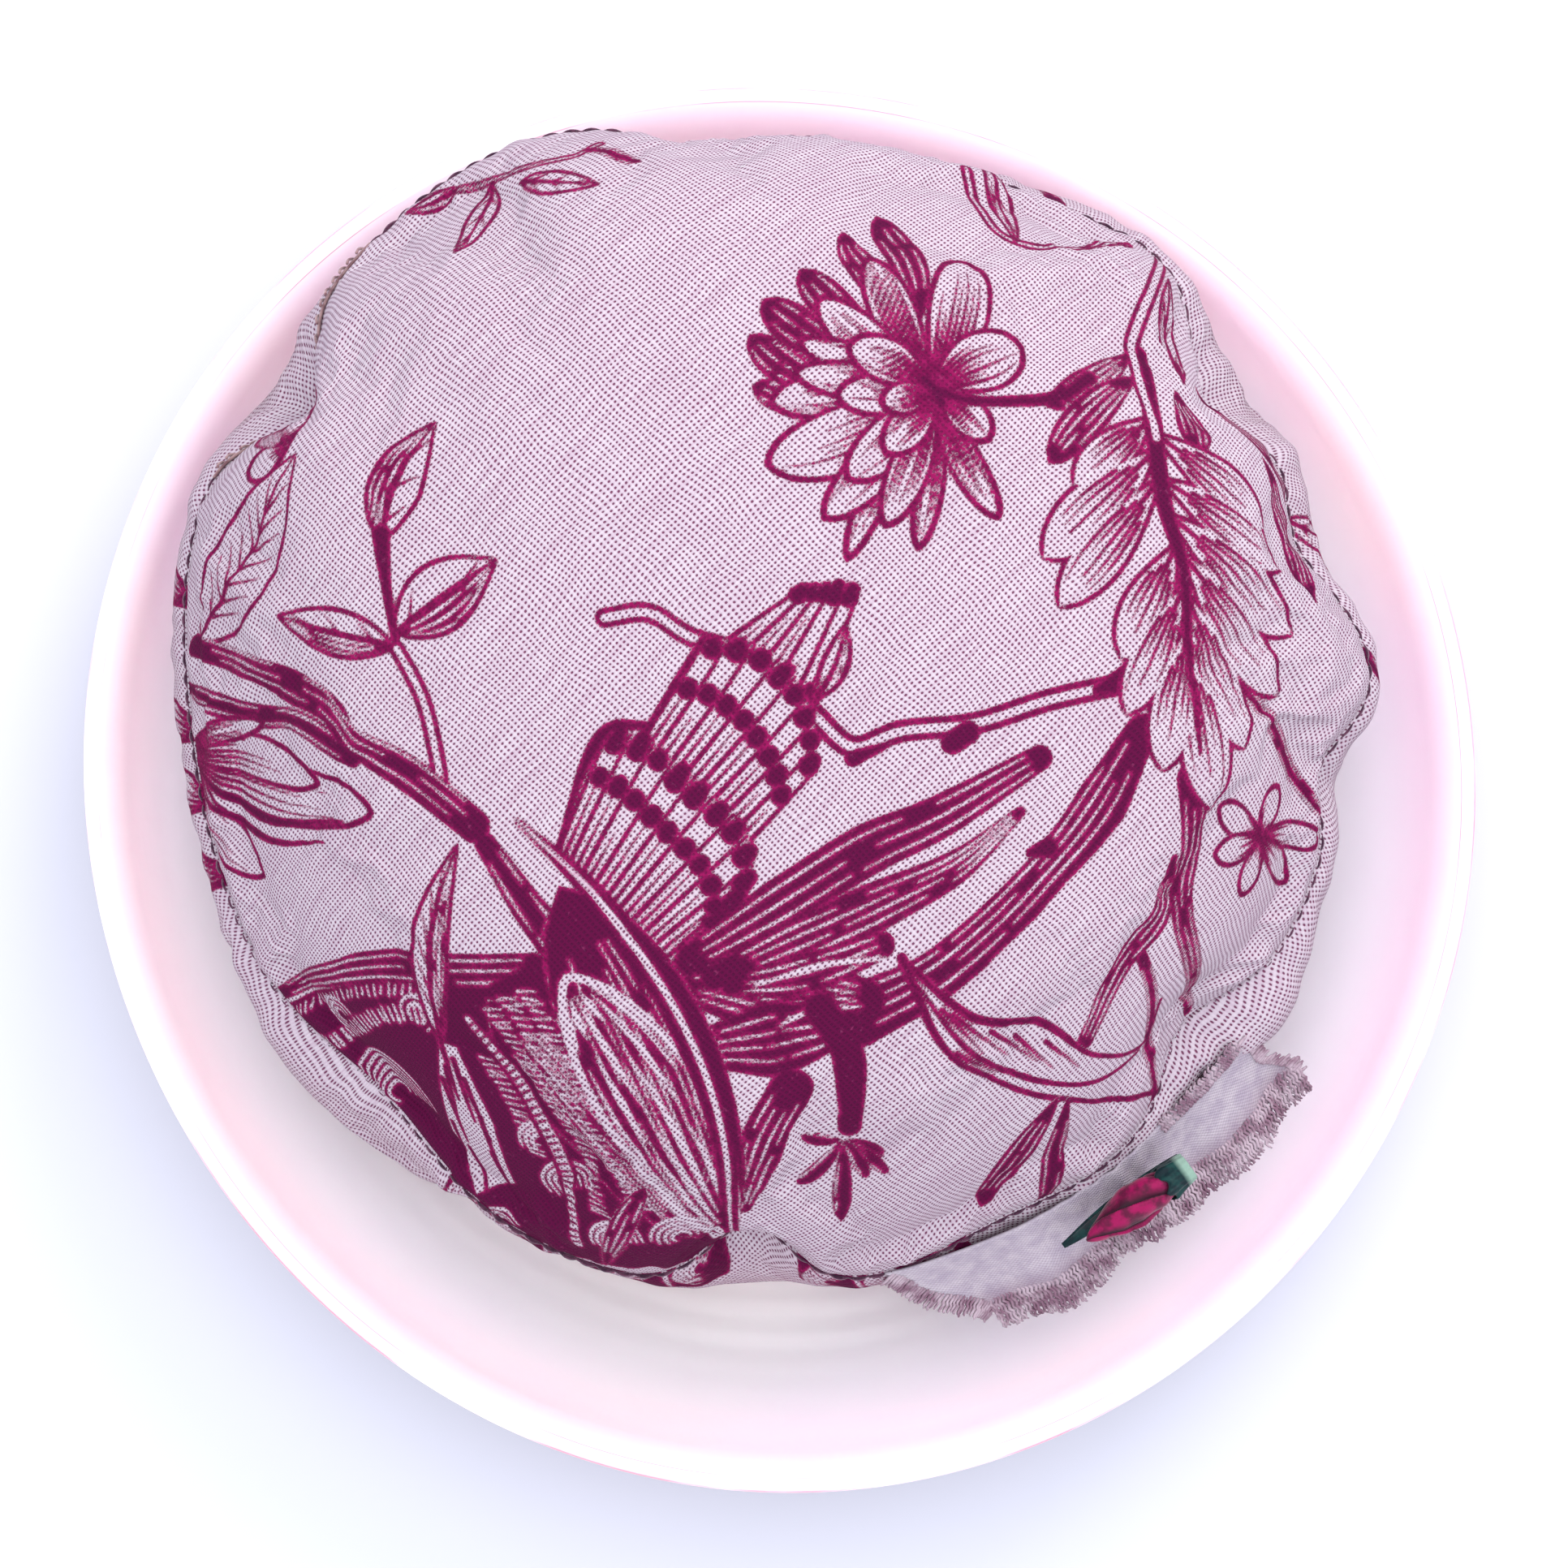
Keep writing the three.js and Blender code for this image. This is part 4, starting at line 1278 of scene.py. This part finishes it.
def printed_cloth():
    """Plain-woven undyed cloth with slubs and small holes between its threads, printed in one ink."""
    look = Shader("printed_cloth", roughness=0.95)
    flat = look.flat_cloth()
    woven = woven_place(look, flat)
    warp, weft = thread_ridges(look, woven)
    hole = look.times(look.minus(1.0, warp), look.minus(1.0, weft))
    warp_streak = look.noise(look.scaled(woven, (1.7, 0.10, 1.0)), 1.0, 3.0, 0.6)
    weft_streak = look.noise(look.scaled(woven, (0.10, 2.3, 1.0)), 1.0, 3.0, 0.6)
    uneven = look.noise(flat, 1.4, 3.0, 0.6)
    streaks = look.plus(look.times(warp_streak, 0.5), look.times(weft_streak, 0.5))
    openness = look.plus(look.times(uneven, 0.5), look.times(streaks, 0.5))
    holes = look.step(look.times(hole, look.math("MULTIPLY_ADD", openness, 1.7, 0.25)), 0.36, 0.80)

    paper = look.mix(look.step(weft_streak, 0.42, 0.62), shown(252, 238, 249), shown(238, 216, 232))
    paper = look.mix(look.step(warp_streak, 0.45, 0.65), paper, shown(244, 226, 240))
    slub = look.step(look.noise(look.scaled(woven, (0.5, 0.9, 1.0)), 1.0, 2.0), 0.70, 0.78)
    paper = look.mix(look.times(slub, 0.8), paper, shown(255, 252, 255))
    # Painted shade: the cloth is coloured darker away from where the threads cross, and dark in the holes
    # between threads, where one sees into the cushion.
    thread_shade = look.times(look.minus(1.0, look.times(warp, weft)), 0.22)
    paper = look.mix(thread_shade, paper, shown(190, 138, 172))
    paper = look.mix(look.times(holes, 0.92), paper, shown(128, 44, 92))
    pale = look.times(look.mark("tint"), look.step(uneven, 0.35, 0.65))
    paper = look.mix(look.times(pale, 0.5), paper, shown(206, 112, 160))

    rough_edge = look.times(look.minus(look.noise(flat, 3.2, 3.0, 0.65), 0.5), 0.42)
    thread_edge = look.times(look.minus(hole, 0.35), -0.16)
    depth = look.plus(look.mark("ink"), look.plus(rough_edge, thread_edge))
    cloudy = look.scaled(woven, (0.9, 0.5, 1.0))
    ink = look.noise_tones(cloudy, 1.0, 0.4, 0.62, shown(136, 8, 80), shown(176, 22, 102))
    ink = look.mix(look.step(depth, 0.1, 0.6), ink, shown(108, 8, 70))
    # Painted shade in the holes, under the ink as well.
    ink = look.mix(look.times(holes, 0.55), ink, shown(84, 12, 66))
    ink = look.mix(look.times(look.step(openness, 0.56, 0.68), 0.35), ink, shown(200, 84, 140))

    look.colour(look.mix(look.step(depth, -0.10, 0.13), paper, ink))
    look.relief(look.minus(look.math("MAXIMUM", warp, weft), look.times(holes, 1.2)), 0.10, 0.6)
    return look.material


def stuffing_piece(shift):
    """The wool stuffing, which fills the panels to just inside the cloth."""
    _, upper = panel_surface(STUFFING_COUNT, False, shift[0])
    _, lower = panel_surface(STUFFING_COUNT, True, shift[1])
    upper = upper + STUFFING_INSET * inward_normals(upper, False)
    lower = lower + STUFFING_INSET * inward_normals(lower, True)
    middle = (upper + lower) / 2
    middle[..., :2] -= STUFFING_SEAM_INSET * unit(middle[..., :2] - CENTRE)
    edge = on_edge(STUFFING_COUNT)
    upper[edge] = middle[edge]
    piece, _ = closed_cushion("wool_stuffing", upper, lower)
    drop_loose_points(piece)
    look = Shader("wool_stuffing", roughness=1.0, sheen=0.3)
    fluff = look.noise(look.place(), 900.0, 4.0, 0.7)
    look.colour(look.mix(fluff, srgb(236, 230, 216), srgb(250, 247, 240)))
    look.relief(fluff, 0.6, 0.8)
    piece.data.materials.append(look.material)
    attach(piece, "cushion")
    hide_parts("filling")


# ---- Thread -------------------------------------------------------------------------------------

def tubes(name, paths, radii, sides=6):
    """Many round threads as one mesh; each path has its own radius at every point."""
    turn = np.linspace(0, 2 * math.pi, sides, endpoint=False)
    points, faces, start = [], [], 0
    for path, radius in zip(paths, radii):
        path = np.asarray(path, dtype=float)
        along = unit(np.gradient(path, axis=0))
        helper = np.array([0.0, 0.0, 1.0])
        if abs(along[0] @ helper) > 0.9:
            helper = np.array([1.0, 0.0, 0.0])
        side = unit(np.cross(along, helper))
        up = np.cross(side, along)
        ring = np.cos(turn)[None, :, None] * side[:, None] + np.sin(turn)[None, :, None] * up[:, None]
        around = path[:, None] + ring * np.broadcast_to(radius, len(path))[:, None, None]
        points.append(around.reshape(-1, 3))
        faces += tube_faces(len(path), sides, start)
        start += len(path) * sides
    return piece_from(name, np.vstack(points), faces)


def seam_place(angle, outward=0.0, up=0.0):
    """A place beside the seam: how far out of its groove, and how far above it."""
    radius = seam_radius(angle) - SEAM_GROOVE + outward
    turn = np.radians(angle)
    return np.stack([
        CENTRE[0] + radius * np.cos(turn),
        CENTRE[1] + radius * np.sin(turn),
        SEAM_HEIGHT + seam_wave(angle) + up + 0 * turn,
    ], axis=-1)


def thread_material(name, dark, light):
    """Plied sewing thread in two mottled tones."""
    look = Shader(name, roughness=0.7, sheen=0.2)
    look.colour(look.noise_tones(look.place(), 900.0, 0.35, 0.65, dark, light))
    look.relief(look.noise(look.place(), 900.0, 3.0, 0.6), 0.05, 0.6)
    return look.material


HAND_SEWN = (131.0, 157.0)  # the part of the seam closed by hand, in degrees
MACHINE_STITCH = 2.1
HAND_STITCH = 1.35
THREAD_DROP = -0.4  # the seam thread's height against the seam's line


def stitch_angles(start, end, pitch):
    """The angles between which stitches of this pitch lie along a part of the seam."""
    count = int(math.radians(end - start) * SEAM_RADIUS / pitch)
    return start + (end - start) * np.arange(count + 1) / count


def machine_stitches():
    """Short stitches one after another round the seam, a thread below them, and its loops."""
    angles = stitch_angles(HAND_SEWN[1], HAND_SEWN[0] + 360, MACHINE_STITCH)
    pitch = angles[1] - angles[0]
    paths, radii = [], []
    lift = np.sin(np.linspace(0, math.pi, 7))
    for angle in angles[:-1]:
        paths.append(seam_place(angle + pitch * np.linspace(0.06, 0.94, 7), 0.22 + 0.20 * lift, THREAD_DROP))
        radii.append(0.12 + 0.07 * lift)
    paths.append(seam_place(np.linspace(angles[0], angles[-1], 720), 0.18, THREAD_DROP))
    radii.append(0.14)
    rise = np.linspace(-0.75, 0.75, 5)
    for angle in np.arange(angles[0] + pitch / 4, angles[-1], pitch / 2):
        paths.append(seam_place(angle + 0 * rise, 0.14 + 0.16 * np.cos(rise), rise + THREAD_DROP))
        radii.append(0.06)
    seam = tubes("machine_stitches", paths, radii)
    seam.data.materials.append(thread_material("seam_thread", shown(78, 38, 68), shown(128, 74, 104)))
    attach(seam, "cushion")
    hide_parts("seam_thread")


def hand_stitches():
    """Slanting overcast stitches that close the gap left for the stuffing."""
    angles = stitch_angles(*HAND_SEWN, HAND_STITCH)
    pitch = angles[1] - angles[0]
    share = np.linspace(-1, 1, 9)
    paths = []
    for angle in angles[:-1]:
        middle = angle + pitch * (0.5 + 0.2 * RNG.standard_normal())
        paths.append(seam_place(middle + 0.55 * share, 0.40 + 0.42 * np.cos(1.5 * share), 1.25 * share))
    paths.append(seam_place(np.linspace(HAND_SEWN[0] - 0.5, HAND_SEWN[1] + 0.5, 90), 0.35))
    closing = tubes("overcast_stitches", paths, [0.17] * (len(paths) - 1) + [0.2])
    closing.data.materials.append(thread_material("hand_thread", shown(160, 112, 122), shown(216, 176, 176)))
    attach(closing, "cushion")
    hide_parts("closing_stitches")


# ---- Frayed ribbon and rosebud ------------------------------------------------------------------

TRIM_ANGLE = 306.0
RIBBON_WIDTH = 11.0
RIBBON_LEAN = 44.0  # how steeply it hangs from the seam, in degrees
RIBBON_ENDS = (-26.0, 23.5)
RIBBON_THICKNESS = 0.32
CRIMP_PITCH = 1.15
BUD_CENTRE = np.mean(box_mm("rosebud"), axis=0)
BUD_LENGTH = 12.4
BUD_RADIUS = 2.35
TRIM_OUT = np.array([math.cos(math.radians(TRIM_ANGLE)), math.sin(math.radians(TRIM_ANGLE)), 0.0])
TRIM_ALONG = np.array([-TRIM_OUT[1], TRIM_OUT[0], 0.0])
TRIM_SIDE = np.cross(TRIM_OUT, TRIM_ALONG)
UP = np.array([0.0, 0.0, 1.0])
TRIM_TOP = np.array([*CENTRE, 0.0]) + 61.6 * TRIM_OUT + (SEAM_HEIGHT - 0.9) * UP


def ribbon_place(along, across):
    """A place on the ribbon: along it from the bud, and a share of its width below the top edge."""
    along, across = np.broadcast_arrays(along, across)
    left, right = np.minimum(along, 0), np.maximum(along, 0)
    hug = -(left ** 2) / 122 - 0.05 * right ** 1.4
    lean = math.radians(RIBBON_LEAN)
    tacked = np.exp(-((along / 5.5) ** 2))
    width = RIBBON_WIDTH * (1 - 0.24 * tacked)
    sag = 0.54 * np.sin(math.pi * np.clip(across, 0, 1)) * (1 - tacked)
    folds = np.sin(along * 0.50 + 0.6) * 0.60 + np.sin(along * 1.1 + 1.3) * 0.16
    gathers = np.sin(along * 2.3) * 0.36 * tacked
    lift = (folds * (0.15 + 0.85 * across) + gathers) * (0.55 + 0.45 * across) - sag
    down = math.cos(lean) * TRIM_OUT - math.sin(lean) * UP
    face = math.sin(lean) * TRIM_OUT + math.cos(lean) * UP
    place = TRIM_TOP + along[..., None] * TRIM_ALONG + hug[..., None] * TRIM_OUT
    return place + (across * width)[..., None] * down + lift[..., None] * face


def ribbon_end(across, right):
    """Where the ribbon's torn end is, at a share of its width."""
    if right:
        return RIBBON_ENDS[1] - 4.5 * (1 - across) + 0.5 * np.sin(across * 9)
    return RIBBON_ENDS[0] + 7.5 * across + 0.5 * np.sin(across * 8 + 1)


def frayed_ribbon():
    """The torn strip, with the fringe of loose yarns at its edges."""
    rows, columns = 33, 150
    across = np.linspace(0, 1, rows)[:, None] + np.zeros((rows, columns))
    share = np.linspace(0, 1, columns)[None, :]
    along = ribbon_end(across, False) * (1 - share) + ribbon_end(across, True) * share
    front = ribbon_place(along, across)
    normal = unit(np.cross(np.gradient(front, axis=1), np.gradient(front, axis=0)))
    outward = math.copysign(1.0, np.mean(normal @ TRIM_OUT))
    ribbon = thin_sheet("torn_ribbon", front, front - RIBBON_THICKNESS * outward * normal)
    flat = np.stack([along, across * RIBBON_WIDTH], axis=-1).reshape(-1, 2)
    mark_cloth(ribbon, np.vstack([flat, flat]))
    ribbon.data.materials.append(ribbon_cloth())
    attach(ribbon, "cushion")
    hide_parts("frayed_ribbon")
    fringe = ribbon_fringe()


def loose_yarn(start, direction, length, rng):
    """One loose yarn: crimped by the weave that it came out of, and a little bent."""
    share = np.linspace(0, 1, 11)[:, None]
    bend = unit(rng.standard_normal(3)) * 0.045 * length
    crimp = 0.15 * np.sin(share * length * 2 * math.pi / CRIMP_PITCH) * TRIM_ALONG
    return start + share * direction * length + share ** 2 * bend + crimp


def ribbon_fringe():
    """Yarns left along the torn edges and ends of the ribbon."""
    rng = np.random.default_rng(11)
    yarns = []

    def fray(places, beyond, least, most, flare=0.0):
        for inner, outer in zip(places, beyond):
            direction = unit(unit(outer - inner) + flare * TRIM_OUT)
            length = least + (most - least) * rng.random()
            begin = inner - direction * 0.5 + 0.05 * rng.standard_normal(3)
            yarns.append(loose_yarn(begin, direction, length, rng))

    low = np.linspace(ribbon_end(1.0, False), ribbon_end(1.0, True), 96)
    fray(ribbon_place(low, 0.97), ribbon_place(low, 1.12), 3.5, 3.8, flare=0.8)
    fray(ribbon_place(low + 0.22, 0.90), ribbon_place(low + 0.22, 1.12), 3.9, 4.3, flare=0.8)
    top = np.linspace(7.5, ribbon_end(0.0, True), 34)
    fray(ribbon_place(top, 0.10), ribbon_place(top, -0.04), 2.0, 2.6)
    side = np.linspace(0.05, 1.0, 38)
    for right, step, drop, least, most in ((True, 1, 0.0, 1.0, 1.8), (False, -1, 0.1, 2.0, 2.8)):
        end = ribbon_end(side, right)
        fray(ribbon_place(end, side), ribbon_place(end + step, side + drop), least, most)
    radius = np.array([0.2] * 7 + [0.19, 0.18, 0.15, 0.09])
    fringe = tubes("ribbon_fringe", yarns, [radius] * len(yarns), 5)
    look = Shader("fringe_yarn", roughness=0.95)
    dull, pale = shown(168, 128, 150), shown(236, 212, 226)
    look.colour(look.noise_tones(look.place(), 420.0, 0.36, 0.64, dull, pale))
    fringe.data.materials.append(look.material)
    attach(fringe, "cushion")
    return fringe


RIBBON_WARP = 0.52
RIBBON_WEFT = 0.44


def ribbon_cloth():
    """Pale cloth, a little blotched, and darker towards its torn lower edge."""
    look = Shader("torn_cloth", roughness=0.95)
    flat = look.flat_cloth()
    split = look.node("ShaderNodeSeparateXYZ")
    look.plug(split.inputs[0], flat)
    ribs = look.math("SINE", look.times(split.outputs[0], 2 * math.pi / RIBBON_WARP))
    cross = look.math("SINE", look.times(split.outputs[1], 2 * math.pi / RIBBON_WEFT))
    weave = look.math("MULTIPLY_ADD", look.times(ribs, cross), 0.5, 0.5)
    base = look.noise_tones(flat, 0.5, 0.30, 0.70, shown(246, 236, 246), shown(218, 206, 224))
    base = look.mix(look.times(weave, 0.4), base, shown(172, 142, 166))
    worn = look.step(split.outputs[1], RIBBON_WIDTH * 0.62, RIBBON_WIDTH)
    look.colour(look.mix(look.times(worn, 0.6), base, shown(160, 122, 144)))
    look.relief(weave, 0.12, 0.7)
    return look.material


def bud_surface(share, turn):
    """The wound bud, lying along the seam, and how far round its wrap each point is, from 0 to 1.

    share runs from the bud's tip to its stem.
    """
    body = BUD_RADIUS * np.sin(math.pi * np.clip(share, 0.004, 0.996)) ** 0.62 * (0.80 + 0.34 * share)
    wrap = (4 * turn / (2 * math.pi) + 1.9 * share + 0.12 * np.sin(7 * share)) % 1.0
    petal_edge = 1 - 0.26 * (1 - wrap) ** 1.6 * np.sin(math.pi * share) ** 0.4
    crease = 0.030 * np.sin(17 * share + 4 * turn) + 0.024 * np.sin(29 * share - 2 * turn)
    radius = body * (petal_edge + crease)
    ring = np.cos(turn)[..., None] * TRIM_OUT + np.sin(turn)[..., None] * TRIM_SIDE
    axis = (share - 0.5)[..., None] * BUD_LENGTH * TRIM_ALONG
    return BUD_CENTRE + axis + radius[..., None] * ring, wrap


def rosebud_satin():
    look = Shader("rosebud_satin", roughness=0.4, sheen=0.1)
    satin = look.noise_tones(look.place(), 520.0, 0.4, 0.62, shown(186, 2, 98), shown(112, 2, 62))
    # Painted shade: the satin is coloured nearly black where each wrap tucks under the next.
    tuck_shade = look.minus(1.0, look.step(look.mark("fold"), 0.04, 0.55))
    look.colour(look.mix(look.times(tuck_shade, 0.96), satin, shown(50, 8, 36)))
    look.relief(look.noise(look.scaled(look.place(), (1.0, 1.0, 4.0)), 1500.0, 2.0), 0.06, 0.6)
    return look.material


def rosebud():
    """The rosebud: satin ribbon wound round itself."""
    rows, steps = 110, 168
    share = np.linspace(0, 1, rows)[:, None] + np.zeros((rows, steps))
    turn = np.linspace(0, 2 * math.pi, steps, endpoint=False)[None, :] + np.zeros((rows, steps))
    points, wrap = bud_surface(share, turn)
    bud = piece_from("satin_rosebud", points.reshape(-1, 3), tube_faces(rows, steps))
    mark(bud, "fold", wrap.ravel())
    bud.data.materials.append(rosebud_satin())
    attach(bud, "cushion")
    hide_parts("rosebud")


def leaf_satin():
    """Green satin, with a pale painted highlight where a piece marks one."""
    look = Shader("leaf_satin", roughness=0.45, sheen=0.05)
    green = look.noise_tones(look.place(), 600.0, 0.4, 0.62, shown(8, 40, 48), shown(20, 74, 72))
    look.colour(look.mix(look.mark("satin_highlight"), green, shown(168, 204, 186)))
    look.relief(look.noise(look.place(), 600.0, 3.0, 0.6), 0.08, 0.6)
    return look.material


def leaf_blade():
    """A pointed leaf of ribbon that lies under the bud."""
    rows, columns = 13, 64
    share = np.linspace(0, 1, columns)[None, :] + np.zeros((rows, columns))
    across = np.linspace(-1, 1, rows)[:, None] + np.zeros((rows, columns))
    half = 1.5 * np.sin(math.pi * np.clip(share * 0.78 + 0.02, 0, 1)) ** 0.7
    along = (share - 0.5) * 15.5 - 0.7
    under = -BUD_RADIUS * (0.72 + 0.2 * np.cos(across * 1.2)) + 0.5 * np.abs(share - 0.5) ** 2
    slope = unit(TRIM_OUT * 0.72 + TRIM_SIDE * 0.69)
    level = unit(TRIM_OUT * 0.69 - TRIM_SIDE * 0.72)
    leaf = (
        BUD_CENTRE + along[..., None] * TRIM_ALONG
        + (across * half + 0.7)[..., None] * level + under[..., None] * slope
    )
    return thin_sheet("green_leaf", leaf, leaf - 0.3 * slope)


# The green cup, from its mouth to the middle of its end at the stem: (share of the bud's length, radius).
CUP_PROFILE = (
    (0.83, 1.95), (0.88, 1.90), (0.93, 1.78), (0.98, 1.70), (1.03, 1.66), (1.07, 1.62), (1.085, 1.55),
    (1.08, 1.46), (1.075, 0.8), (1.075, 0.02),
)


def bud_cup():
    """A cup of green ribbon round the bud's stem end, open towards the bud."""
    steps = 72
    turn = np.linspace(0, 2 * math.pi, steps, endpoint=False)
    around = np.cos(turn)[:, None] * TRIM_OUT + np.sin(turn)[:, None] * TRIM_SIDE
    rings = []
    for share, radius in CUP_PROFILE:
        wobble = 1 + 0.07 * np.sin(5 * turn + 9 * share) + 0.04 * np.sin(11 * turn)
        scallop = 0.035 * np.sin(5 * turn) if share < 0.85 else 0 * turn
        axis = ((share + scallop - 0.5) * BUD_LENGTH)[:, None] * TRIM_ALONG
        rings.append(BUD_CENTRE + axis + (radius * wobble)[:, None] * around)
    inner = [BUD_CENTRE + (ring - BUD_CENTRE) * 0.94 for ring in rings[2::-1]]
    cup = piece_from("green_cup", np.vstack(inner + rings), tube_faces(len(inner) + len(rings), steps))
    # Painted highlight: the cup's stem end, past the bud's length, is coloured pale.
    satin_highlight = [0.0] * len(inner) + [float(share > 1.0) for share, _ in CUP_PROFILE]
    mark(cup, "satin_highlight", np.repeat(satin_highlight, steps))
    return cup


def rosebud_leaf():
    """Green ribbon: the leaf under the bud, and the cup round the end of it."""
    satin = leaf_satin()
    for piece in (leaf_blade(), bud_cup()):
        piece.data.materials.append(satin)
        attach(piece, "cushion")
        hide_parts("rosebud_leaf")



# ---- The whole object ---------------------------------------------------------------------------

make_camera()
make_light()
make_floor()
make_dish()
shift = cloth_move(SIM_COUNT)
cloth_material = printed_cloth()
panel_piece("upper_cloth", "top_panel", UPPER_COUNT, False, shift[0], cloth_material)
panel_piece("lower_cloth", "bottom_panel", LOWER_COUNT, True, shift[1], cloth_material)
stuffing_piece(shift)
machine_stitches()
hand_stitches()
frayed_ribbon()
rosebud()
rosebud_leaf()
